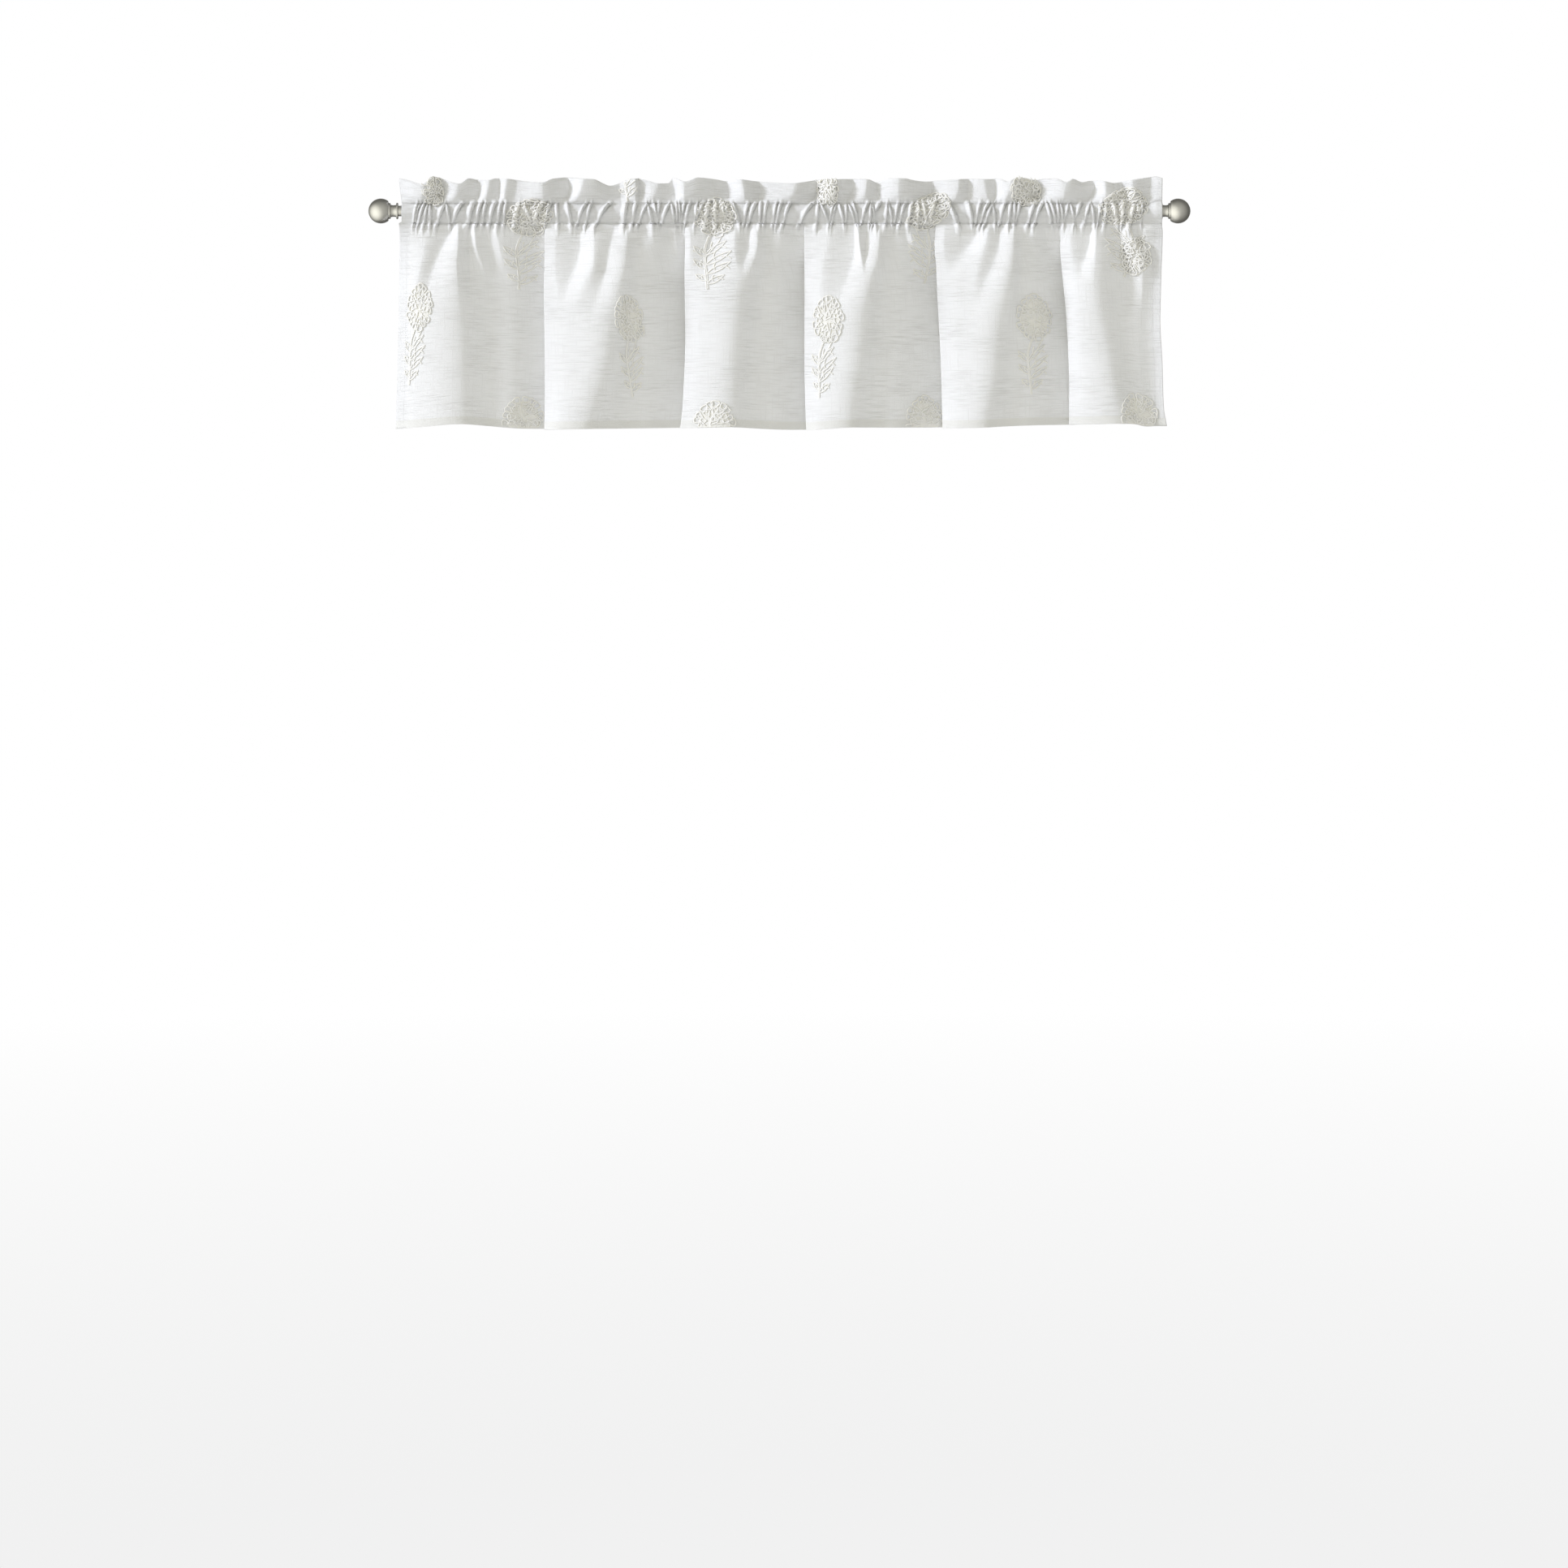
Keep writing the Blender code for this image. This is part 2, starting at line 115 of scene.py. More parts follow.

# %% [markdown]
# ## The skirt's deep folds
#
# Under the rod the cloth hangs in six deep folds. Each has a left edge that laps over the fold before it,
# a crest that stands towards the viewer, a soft shoulder, and a valley that runs on behind the next fold.
# The lines of these places are drawn from the seam to the hem, because no two folds are alike.
# At each height, a smooth curve through them is the cloth seen from above, and its length is shared out
# evenly over the cloth's columns, so the weave isn't stretched.

# %% Lines of the deep folds
SEAM_TOP, SEAM_LOW = 11.2, -18.6
TAIL_HEIGHT, TAIL_DIP = -22.0, 0.6
HEM_BAND = 12.3

LIP_LINES = [
    [(493.5, 275), (494.2, 290), (493, 359), (490.7, 449), (488, 528)],
    [(672, 275), (672.6, 297), (671, 359), (672, 449), (671, 528)],
    [(844, 275), (844.6, 290), (843.8, 341), (844.6, 413), (841, 502), (838, 528)],
    [(991, 275), (991, 450), (993, 528)],
    [(1152.5, 275), (1150.8, 306), (1152.5, 324), (1154, 359), (1156, 395), (1158.8, 449), (1161, 528)],
    [(1306, 275), (1305, 306), (1307.7, 341), (1312, 384), (1315, 431), (1316.6, 484), (1316.5, 528)],
    [(1429, 275), (1430.6, 285), (1429, 341), (1428, 395), (1431, 449), (1432.7, 502), (1437, 528)],
]
CREST_LINES = [
    [(563, 275), (562, 324), (564, 356), (569, 427), (571, 528)],
    [(774, 275), (773, 324), (769, 350), (762, 386), (750, 449), (736, 484), (716, 528)],
    [(930, 275), (933, 306), (926, 330), (914, 377), (909, 413), (903.6, 484), (903, 528)],
    [(1083, 275), (1082, 324), (1074, 341), (1072, 359), (1065, 404), (1060, 449), (1047, 502), (1044, 528)],
    [(1247, 275), (1248, 315), (1247, 341), (1241, 377), (1232, 413), (1226, 466), (1217, 502), (1212, 528)],
    [(1352, 275), (1353, 324), (1350, 350), (1351, 386), (1360, 431), (1366, 466), (1375, 502), (1380, 528)],
]
SHOULDER_LINES = [
    [(621, 275), (623, 360), (620, 450), (618, 528)],
    [(790, 275), (786, 350), (786, 440), (787, 528)],
    [(953, 275), (946, 350), (942, 450), (942, 528)],
    [(1098, 275), (1093, 404), (1089, 460), (1088, 528)],
    [(1262, 275), (1258, 359), (1254, 460), (1250, 528)],
    [(1394, 275), (1398, 359), (1406, 440), (1412, 528)],
]
FOLD_DEPTHS = [46, 54, 50, 54, 50, 48]
# The hem's height in the front view at each fold's lip, crest and valley.
HEM_HEIGHTS = [(527.3, 521.0, 527.3), (528.3, 527.0, 526.2), (526.2, 524.8, 528.5),
               (529.0, 525.2, 525.6), (526.5, 525.2, 522.4), (521.8, 520.6, 523.6)]
LIP_FORWARD, CREST_FORWARD, VALLEY_FORWARD, EDGE_FORWARD = 0.08, 0.50, -0.50, -0.05
LEFT_EDGE_FORWARD, RISE_PLACE, RISE_SHARE = -0.18, 0.36, 0.67
LAP, SAG, LAST_SAG, SWELL, SAG_PLACE, SWELL_PLACE = 0.050, 0.075, 0.03, 0.085, 0.35, 0.20
SKIRT_DROP, DIP_WIDTH = 310.0, 1.8
EDGE_CURL, CURL_MIDDLE, CURL_RISE, CURL_END = 36.0, 0.4, 0.08, 0.28
FULL_FOLD, OPENING_POWER = 0.40, 2.1

print("deep folds:", len(FOLD_DEPTHS), "with depths", FOLD_DEPTHS)

# %% Seen from above: one deep fold at one height
CURVE_STEPS = 14


def curve_through(points):
    """A smooth curve through points, timed by their distances so that it never overshoots a short gap."""
    p = np.array(points, float)
    step = np.maximum(np.linalg.norm(np.diff(p[:, :2], axis=0), axis=1), 1e-6)
    slope = np.diff(p, axis=0) / step[:, None]
    inner = (slope[:-1] * step[1:, None] + slope[1:] * step[:-1, None]) / (step[:-1] + step[1:])[:, None]
    tangent = np.vstack([slope[:1], inner, slope[-1:]])
    t = (np.arange(CURVE_STEPS) / CURVE_STEPS)[:, None]
    parts = [eased(t, a, b, gap * start, gap * end)
             for a, b, gap, start, end in zip(p, p[1:], step, tangent, tangent[1:])]
    return np.vstack([*parts, p[-1:]])


def fold_plan(index, level):
    """One deep fold seen from above at a level: points of (right, forward, height of the hem below)."""
    view_y = view_y_of(SEAM_LOW - level * SKIRT_DROP)
    lip, crest, shoulder, end = (line_place(line, view_y) for line in (
        LIP_LINES[index], CREST_LINES[index], SHOULDER_LINES[index], LIP_LINES[index + 1]))
    # The folds open from nothing at the seam to their full depth at FULL_FOLD of the drop.
    open_share = 1.0 - (1.0 - min(level / FULL_FOLD, 1.0)) ** OPENING_POWER
    depth = FOLD_DEPTHS[index] * open_share
    hem_lip, hem_crest, hem_valley = (float(up(h)) for h in HEM_HEIGHTS[index])
    last = index == len(FOLD_DEPTHS) - 1
    lap = 0.0 if last else LAP * (end - lip) * open_share ** 3
    valley_x = end + lap
    valley = EDGE_FORWARD if last else VALLEY_FORWARD

    def falling(x):
        return CREST_FORWARD + (valley - CREST_FORWARD) * (x - crest) / (valley_x - crest)

    before = shoulder - SAG_PLACE * (shoulder - crest)
    behind = shoulder + SWELL_PLACE * (valley_x - shoulder)
    first = LIP_FORWARD if index else LEFT_EDGE_FORWARD
    climbed = first + RISE_SHARE * (CREST_FORWARD - first)
    points = [
        (lip, first * depth, hem_lip),
        (lip + RISE_PLACE * (crest - lip), climbed * depth, 0.6 * hem_lip + 0.4 * hem_crest),
        (crest, CREST_FORWARD * depth, hem_crest),
        (before, (falling(before) - (LAST_SAG if last else SAG)) * depth, 0.6 * hem_crest + 0.4 * hem_valley),
    ]
    if last:
        curl, half_curl = end - EDGE_CURL, end - CURL_MIDDLE * EDGE_CURL
        points += [(curl, falling(curl) * depth, hem_valley),
                   (half_curl, falling(half_curl) * depth + CURL_RISE * EDGE_CURL * open_share, hem_valley),
                   (end, falling(end) * depth + CURL_END * EDGE_CURL * open_share, hem_valley)]
    else:
        next_lip = LIP_FORWARD * FOLD_DEPTHS[index + 1] * open_share
        turn = valley * depth
        points += [(behind, (falling(behind) + SWELL) * depth, 0.2 * hem_crest + 0.8 * hem_valley),
                   (end - 0.2 * lap, falling(end - 0.2 * lap) * depth, hem_valley),
                   (valley_x, turn + 0.03 * (next_lip - turn), hem_valley),
                   (end + 0.75 * lap, turn + 0.25 * (next_lip - turn), hem_valley),
                   (end, next_lip, float(up(HEM_HEIGHTS[index + 1][0])))]
    return curve_through(points)


plan = fold_plan(1, 1.0)
print("second fold at the hem:", len(plan), "points,", round(run_along(plan[:, :2])[-1]), "mm of cloth")

# %% [markdown]
# ## Tucks under the seam
#
# The gathers at the seam send short tucks down into the skirt. From the left, light catches the side that
# rises to a ridge ("R") and leaves the side that falls to a valley ("V") grey. Each line is listed one by
# one:
# its depth, its place on the seam and more points down the skirt. "O" marks where the cloth is back on the
# deep fold. Between two lines the cloth goes smoothly from one depth to the next. Every line fades out
# towards its lower end.

# %% Lines of the tucks
TUCK_LINES = [
    ("R", 3.5, 521, (526, 297), (521, 324), (515, 350), (511, 380)),
    ("V", 7, 562, (547, 304), (538, 324), (531, 345), (523, 375), (518, 400)),
    ("R", 7, 566, (567, 300), (565, 324), (567, 356), (569, 395)),
    ("V", 7, 578, (578, 300), (580, 325), (580, 356), (578, 390)),
    ("R", 6, 587, (588, 300), (597, 330), (603, 360), (605, 392)),
    ("V", 2.5, 601, (603, 300), (609, 320), (612, 335)),
    ("R", 5, 611, (616, 300), (620, 320), (621, 345)),
    ("O", 0, 634, (642, 345)),
    ("R", 4, 681, (686, 297), (685, 324), (687, 347), (691, 375)),
    ("V", 7, 716, (716, 303), (709, 330), (700, 352), (695, 378)),
    ("R", 5, 733.5, (733, 320), (719, 356), (709, 380), (703, 402)),
    ("V", 7, 759, (750, 315), (743, 347), (731, 380), (720, 405)),
    ("R", 6, 774, (773, 324), (769, 350), (764, 390), (760, 420)),
    ("O", 0, 787, (790, 420)),
    ("V", 2, 795, (799, 292), (801, 302)),
    ("R", 3.5, 801, (805, 288), (807, 302)),
    ("V", 2.5, 821, (826, 300), (829, 320)),
    ("R", 7, 830, (834, 300), (838, 330)),
    ("R", 4, 849, (851, 292), (851, 320), (850, 345)),
    ("V", 6.5, 879, (876, 300), (869, 320), (864, 352)),
    ("R", 6, 907, (905, 306), (907, 322), (910, 338)),
    ("V", 5, 923, (922, 306), (917, 322), (914, 338)),
    ("R", 6, 930, (934, 300), (931, 320), (922, 345), (916, 378)),
    ("O", 0, 945, (940, 378)),
    ("V", 2, 952, (955, 292)),
    ("R", 3.5, 957, (961, 292)),
    ("V", 2, 978, (980, 292)),
    ("R", 4, 985, (987, 292)),
    ("R", 5, 1024, (1020, 300), (1013, 332), (1011, 359), (1013, 392)),
    ("V", 8, 1052, (1053, 305), (1042, 345), (1031, 372), (1026, 398)),
    ("R", 6, 1056, (1058, 300), (1061, 318), (1063, 334)),
    ("V", 6, 1068, (1066, 305), (1065, 320), (1065, 334)),
    ("R", 7, 1083, (1082, 324), (1075, 341), (1072, 359), (1067, 398)),
    ("O", 0, 1099, (1090, 398)),
    ("V", 2.5, 1112, (1117, 295), (1121, 312)),
    ("R", 5, 1118, (1124, 298), (1128, 314)),
    ("R", 5, 1164, (1162, 302), (1163, 318), (1165, 334)),
    ("V", 8, 1210, (1195, 300), (1179, 320), (1172, 334)),
    ("R", 2.5, 1218, (1214, 295), (1206, 320), (1199, 350), (1193, 378)),
    ("V", 7, 1230.5, (1230, 297), (1226, 316), (1218, 333), (1211, 350), (1202, 380)),
    ("R", 6, 1247, (1248, 315), (1247, 341), (1242, 377), (1235, 412)),
    ("O", 0, 1260, (1252, 412)),
    ("V", 2, 1265, (1270, 294)),
    ("R", 4, 1273, (1276, 294)),
    ("V", 3.5, 1286, (1290, 310), (1294, 350)),
    ("R", 4, 1320, (1317, 297), (1319, 315), (1322, 328), (1325, 342)),
    ("V", 7, 1342.5, (1341.6, 297), (1337, 313), (1331, 328), (1330, 342)),
    ("R", 6, 1348, (1347, 324), (1345, 350), (1348, 386), (1356, 412)),
    ("V", 7, 1375, (1380, 300), (1389, 332), (1391, 359), (1387, 386), (1383, 414)),
    ("R", 7, 1386, (1389, 288), (1395, 303), (1404, 320), (1406, 341), (1405, 377), (1399, 410)),
    ("V", 2, 1397, (1402, 292), (1406, 303)),
    ("R", 4, 1407, (1411, 290), (1415, 304)),
]
SIGN = {"R": 1.0, "V": -1.0, "O": 0.0}
SEAM_SHARE, FADE_PART, TUCK_DEPTH = 0.38, 0.6, 0.85
TUCK_START = 275.0
# Over how many steps of the view a line grows, how crisp its valleys are and how straight its sides.
TUCK_SHAPE = (12.0, 0.35, 0.5)


def relief(lines, view_y, x, fixed, seam_y, grow, crisp, straight):
    """How far forward the lines push the cloth at the places x of one height."""
    marks = [(place, 0.0, 0.0) for place in fixed]
    for kind, depth, first, *line in lines:
        line = [(first, seam_y), *line]
        end = line[-1][1]
        down = seam_y <= end
        if (view_y >= end) if down else (view_y <= end - 0.01):
            continue
        fade = smoothstep((end - view_y) / (FADE_PART * (end - seam_y))) if down else 1.0
        rise = SEAM_SHARE + (1.0 - SEAM_SHARE) * smoothstep(abs(view_y - seam_y) / grow)
        place = line_place(sorted(line, key=lambda point: point[1]), view_y)
        marks.append((place, SIGN[kind] * depth * float(fade) * float(rise), SIGN[kind]))
    marks.sort()
    places, depths, signs = (np.array([m[part] for m in marks]) for part in range(3))
    k = np.clip(np.searchsorted(places, x, side="right") - 1, 0, len(places) - 2)
    t = np.clip((x - places[k]) / np.maximum(places[k + 1] - places[k], 1e-6), 0.0, 1.0)
    leaves_valley = np.sin(0.5 * math.pi * t)
    enters_valley = 1.0 - np.cos(0.5 * math.pi * t)
    bent = np.where(signs[k] < 0, leaves_valley, np.where(signs[k + 1] < 0, enters_valley, smoothstep(t)))
    bent = crisp * bent + (1.0 - crisp) * smoothstep(t)
    return depths[k] + (depths[k + 1] - depths[k]) * (straight * t + (1.0 - straight) * bent)


print("tuck lines:", len(TUCK_LINES))

# %% [markdown]
# ## Pinched ridges of the pocket
#
# Pushed together on the rod, the pocket stands in nearly a hundred narrow ridges. They lean both ways, and
# between them are a few stretches where the cloth lies smooth. Their places come from a table of top and
# bottom points, and a third number widens a few of them. A ridge is a slightly bowed, rounded bump with a
# groove at its right foot. The stitching at the two seams holds it down, and it runs out a little above and
# below them.

# %% Ridges of the pocket
RIDGES = [
    (515.7, 510.8), (519.3, 513), (524.6, 516.5), (529, 523), (531, 530.5), (549.6, 539, 1.5), (550.5, 555),
    (570, 557.7, 1.5), (583.6, 576.4, 1.9), (593.4, 586.6, 1.4), (599.6, 595), (610, 603, 1.6),
    (617.9, 613.3, 1.2), (624.5, 621), (640.8, 634.7, 1.3), (644.5, 655.6), (670.4, 657, 1.5), (679, 671.4),
    (685.7, 687.2), (698, 703, 1.3), (722.4, 711.2), (729, 722, 0.8), (751, 734.7, 1.5), (771, 767.5, 1.7),
    (783.9, 778.8), (799, 786.4), (797.5, 803), (805.3, 810.4, 0.9), (812, 810.5, 0.8), (825, 814.5, 1.3),
    (826.7, 831.3), (833.4, 834), (836.5, 838.5), (843, 839.5, 0.9), (849.7, 843.5), (858.9, 855.8),
    (866.5, 857.3, 1.4), (873.7, 868.6, 1.2), (880.5, 880.8, 1.3), (889, 893, 1.2), (895.8, 893.3, 0.9),
    (902, 909.6, 1.1), (921.3, 915.7), (930, 920.8, 1.5), (936.5, 935, 1.1), (943.8, 940), (956, 951.4, 0.8),
    (961.5, 955.5), (972.3, 963.7, 1.1), (1000.4, 984, 1.5), (1007.5, 1004.5), (1009, 1020, 0.9),
    (1027, 1020.8, 0.9), (1030, 1023.9), (1032, 1038.4), (1042, 1041, 0.8), (1043.5, 1053), (1049.6, 1055.7),
    (1068, 1059.8, 0.9), (1072.5, 1070), (1073.5, 1077, 0.9), (1082, 1074, 1.3), (1092.4, 1089.4, 0.9),
    (1093.5, 1097.8), (1105.7, 1100.6, 0.9), (1113.9, 1106.7, 0.9), (1122.5, 1117.4, 1.4), (1130, 1129),
    (1136, 1139.9), (1150.6, 1143.5, 1.3), (1166, 1177, 1.7), (1190.6, 1195.7, 1.5), (1206, 1199.8),
    (1216, 1206, 0.9), (1223, 1211, 1.3), (1221, 1224, 0.9), (1236, 1228.9, 1.2), (1243.7, 1240, 1.1),
    (1248, 1247.8), (1255, 1250), (1273, 1264.5, 1.1), (1282, 1272, 1.3), (1287, 1293), (1292, 1299, 1.2),
    (1301, 1301.8), (1304, 1308, 0.9), (1314.5, 1309), (1316, 1321.6), (1329, 1321.6, 1.2), (1341, 1333),
    (1342, 1345.6), (1355, 1350, 0.8), (1361.4, 1358), (1368.6, 1373.7, 1.3), (1382, 1379, 1.4),
    (1396, 1389, 1.4), (1398, 1403, 0.9), (1405, 1403.5, 0.8),
]
print("pinched ridges:", len(RIDGES))

# %% Height of the ridges at one height of the cloth
RIDGE_HALF, RIDGE_HEIGHT, RIDGE_LEAN = 3.4, 6.0, 0.48
GROOVE, GROOVE_WIDTH, SEAM_DIP, RIDGE_BOW = 2.2, 1.1, 1.2, 0.15
CROWDED, RIDGE_STEEP, NARROWEST = 0.64, 1.8, 2.0
SEAM_TOP_Y, SEAM_LOW_Y = 250.9, 275.1
# How hard the two seams hold the ridges down, over how many steps, and how far they run out beyond them.
HOLD_TOP, HOLD_LOW, HOLD_WIDTH, RUN_OUT_TOP, RUN_OUT_LOW = 0.3, 0.15, 1.2, 2.4, 8.5
RIDGE_ROUND, GROOVE_PLACE = 1.25, 0.4
# How much of a ridge's width and height is the same for all, and how much comes from its own number.
WIDTH_FIXED, WIDTH_OWN, HEIGHT_FIXED, HEIGHT_OWN = 0.45, 0.55, 0.7, 0.3
LINE_START, LINE_END, UNSEEN = -0.18, 1.22, 0.01


def bell(distance, width):
    return math.exp(-(distance / width) ** 2)


def ridge_height(x, view_y):
    """How far the pinched ridges lift the cloth at the places x of one height in the view."""
    share = np.clip((view_y - SEAM_TOP_Y) / (SEAM_LOW_Y - SEAM_TOP_Y), LINE_START, LINE_END)
    held = (1.0 - HOLD_TOP * bell(view_y - SEAM_TOP_Y, HOLD_WIDTH)
            - HOLD_LOW * bell(view_y - SEAM_LOW_Y, HOLD_WIDTH))
    held *= bell(max(SEAM_TOP_Y - view_y, 0.0), RUN_OUT_TOP)
    held *= bell(max(view_y - SEAM_LOW_Y, 0.0), RUN_OUT_LOW)
    total, groove = np.zeros_like(x), np.zeros_like(x)
    if held < UNSEEN:
        return total
    bowed = share + RIDGE_BOW * math.sin(math.pi * min(max(share, 0.0), 1.0))
    middles = across([top + (low - top) * bowed for top, low, *_ in RIDGES])
    gaps = np.abs(middles[:, None] - middles[None, :]) + 1e9 * np.eye(len(middles))
    widest = np.maximum(CROWDED * gaps.min(axis=1), NARROWEST)
    for middle, limit, (_, _, *wide) in zip(middles, widest, RIDGES):
        wide = wide[0] if wide else 1.0
        half = min(RIDGE_HALF * (WIDTH_FIXED + WIDTH_OWN * wide), limit)
        t = (x - middle) / half - RIDGE_LEAN
        t = np.where(t < 0, t / (1.0 + RIDGE_LEAN), t / (1.0 - RIDGE_LEAN))
        bump = np.clip(1.0 - t * t, 0.0, 1.0) ** RIDGE_ROUND
        height = min(RIDGE_HEIGHT * (HEIGHT_FIXED + HEIGHT_OWN * wide), RIDGE_STEEP * half)
        total = np.maximum(total, height * held * bump)
        foot = x - middle - half - GROOVE_PLACE
        groove = np.maximum(groove, held * np.exp(-(foot / GROOVE_WIDTH) ** 2))
    return total - GROOVE * groove


pocket_middle = ridge_height(across(np.arange(500.0, 1420.0, 0.5)), 263.0)
print("highest ridge:", round(float(pocket_middle.max()), 1), "mm")

# %% [markdown]
# ## The ruffled heading
#
# Above the pocket the doubled cloth opens into soft upright lobes. The same relief as the tucks makes
# them: ridge and valley lines, here from the top seam up to the top fold. The lines slant, so the lobes
# twist. The outline of the top fold is one more line, lower where a lobe leans to the front.

# %% Lines of the heading
HEADING_LINES = [
    ("V", 6, 495, (493, 236), (492.5, 217)),
    ("R", 7.5, 519.5, (522.5, 240), (524, 224)),
    ("V", 6, 539.5, (548, 233), (536.5, 217)),
    ("R", 5, 557.5, (564.5, 237), (567, 222)),
    ("V", 6, 589, (592.5, 232), (579, 218)),
    ("R", 3, 596.5, (603, 234), (605.5, 220)),
    ("V", 3, 615.7, (616.5, 236), (617, 220)),
    ("R", 3.5, 622, (624, 238), (628, 220)),
    ("R", 0, 634, (636, 240), (640, 218)),
    ("R", 9, 672.5, (669.5, 236), (672.5, 220)),
    ("V", 7, 697, (703, 236), (695, 218)),
    ("R", 8, 709.5, (718.5, 234), (723.5, 219)),
    ("V", 4.5, 765.5, (765, 240), (764, 225)),
    ("R", 3, 783, (784, 236), (783, 219)),
    ("V", 4, 786.5, (789, 237), (785.5, 219)),
    ("R", 4, 802, (806, 240), (813, 223)),
    ("V", 3.5, 834, (831, 237), (827, 219)),
    ("R", 8, 843, (843.5, 237), (844, 222)),
    ("V", 9, 897, (898, 237), (895, 222)),
    ("R", 5, 918.5, (916, 236), (912.5, 220)),
    ("V", 6.5, 932.5, (937.5, 236), (934.5, 222)),
    ("R", 7, 967.5, (977.5, 237), (980.5, 223)),
    ("V", 6.5, 1002, (1008.1, 234), (1002.5, 221)),
    ("R", 6, 1022.5, (1025.5, 237), (1031.5, 220)),
    ("V", 4.5, 1044.5, (1051.2, 229), (1038.5, 218)),
    ("R", 3, 1062, (1066, 238), (1069, 220)),
    ("V", 5, 1082.5, (1080.3, 236), (1079.8, 222)),
    ("R", 8, 1106.5, (1106.2, 237), (1107.5, 220)),
    ("V", 9, 1141.5, (1150.2, 233), (1145, 220)),
    ("R", 4, 1172.5, (1179.5, 237), (1180.5, 221)),
    ("V", 4, 1191.2, (1192.2, 237), (1193.5, 220)),
    ("R", 3, 1217, (1213, 237), (1210, 220)),
    ("V", 3, 1223.5, (1225.5, 237), (1224.5, 220)),
    ("R", 7.5, 1235, (1242.1, 236), (1245.5, 222)),
    ("V", 8.5, 1271, (1280.5, 233.6), (1273, 219)),
    ("R", 7.5, 1307.5, (1310, 236), (1314.5, 221)),
    ("V", 7.5, 1337.5, (1347.5, 233), (1342.5, 221)),
    ("R", 5, 1360.5, (1360.5, 236), (1359, 221)),
    ("V", 5, 1388.5, (1386, 238), (1378.5, 222)),
    ("R", 3.5, 1395, (1394, 236), (1392.5, 220)),
    ("V", 4, 1411.5, (1414.5, 238), (1419.5, 220)),
]
TOP_LINE = [
    (493, 220), (500, 221), (523, 227), (530, 222), (537, 218), (546, 220.5), (567, 226.3), (579, 219.9),
    (590, 221.6), (603, 222), (612, 220), (622, 220.2), (655, 224.3), (670, 225), (682, 220.4), (698, 218.8),
    (722, 220.6), (732, 221), (745, 226.6), (752, 229), (765, 225.4), (775, 221.2), (785, 220.2),
    (800, 223.2), (812, 226.2), (823, 226), (830, 219.5), (845, 224), (860, 219), (881, 221), (896, 223.4),
    (910, 221.2), (930, 223.4), (953, 225), (975, 226.2), (995, 223.7), (1007, 221.8), (1036, 221),
    (1060, 220.6), (1070, 221.4), (1080, 225), (1088, 221.6), (1095, 220), (1113, 220), (1125, 222.4),
    (1140, 223.8), (1160, 222.4), (1198, 220.6), (1216, 221), (1230, 220.4), (1241, 223.8), (1249, 219.6),
    (1258, 219.2), (1275, 221.8), (1285, 220.6), (1300, 220.4), (1312, 224.4), (1320, 220.8), (1332, 224.6),
    (1342, 222.9), (1355, 222.9), (1370, 225.6), (1380, 224.4), (1395, 221.5), (1410, 219.2), (1422.7, 217.6),
    (1431, 219.8),
]
HEADING_GAP, HEADING_DEPTH, HEADING_BACK = 2.4, 1.45, 5.0
LOBE_START, LOBE_SHAPE = 251.0, (8.0, 0.65, 0.3)
LOBE_END, LOBE_TOP = 1431.0, 41.0
ROD_GAP = 0.7
SEAM_OUT_TOP, SEAM_OUT_LOW, SEAM_EASE = 4.0, 6.5, 0.35
crown_heights = [(float(up(y)), float(across(x))) for x, y in TOP_LINE]
print("heading lines:", len(HEADING_LINES), "and the top fold stands", round(min(crown_heights)[0]), "to",
      round(max(crown_heights)[0]), "mm above the rod's axis")

# %% [markdown]
# ## One grid for the whole cloth
#
# The cloth is one sheet, so it is one grid of columns and rows. It starts at the raw edge of the bottom
# hem, on the back, goes round the hem and up the front, over the top fold, and down the back to the tail
# below the lower seam. The rows are closer where the cloth turns. The side hems are four more columns on
# each side, folded to the wrong side.

# %% Columns and where they cross each level
COLUMNS = 1104
EDGE_CROWN, EDGE_POCKET = (-576.3, 579.8), (-571.5, 579.0)
MOUTH_START, MOUTH_FULL, MOUTH_RADIUS, MOUTH_SEAM = 560.0, 572.0, 14.1, 15.0
POCKET_SECTION = [(142, 12.8), (105, 12.2), (70, 11.6), (42, 10.5)]

lips_at_seam = np.array([line_place(line, TUCK_START) for line in LIP_LINES])
pocket_share = np.linspace(0.0, 1.0, COLUMNS)
x_pocket = EDGE_POCKET[0] + (EDGE_POCKET[1] - EDGE_POCKET[0]) * pocket_share
x_crown = EDGE_CROWN[0] + (EDGE_CROWN[1] - EDGE_CROWN[0]) * pocket_share
x_seam = lips_at_seam[0] + (lips_at_seam[-1] - lips_at_seam[0]) * pocket_share
mouth = smoothstep((x_pocket - MOUTH_START) / (MOUTH_FULL - MOUTH_START))
top_seam = SEAM_TOP + (MOUTH_SEAM - SEAM_TOP) * mouth
fold_of = np.clip(np.searchsorted(lips_at_seam, x_seam, side="right") - 1, 0, len(FOLD_DEPTHS) - 1)
fold_share = (x_seam - lips_at_seam[fold_of]) / np.diff(lips_at_seam)[fold_of]
print(COLUMNS, "columns,", round((x_pocket[1] - x_pocket[0]), 2), "mm apart on the rod")

# %% Rows of the skirt, from the lower seam to the hem
BELOW_SEAM = [0, 1.5, 3, 4.8, 7, 9.5, 12.5, 16, 20, 24, 28.5, 33, 38, 43.5, 49.5, 56, 63, 70.5, 78.5, 87, 96,
              105.5, 115.5, 126, 137, 149, 162, 176, 191, 207, 224, 241, 258, 275, 288]
ABOVE_HEM = [HEM_BAND, 8.0, 4.0, 1.2, 0.4, 0.0]
skirt_levels = [b / SKIRT_DROP for b in BELOW_SEAM] + [1.0 - a / SKIRT_DROP for a in ABOVE_HEM]


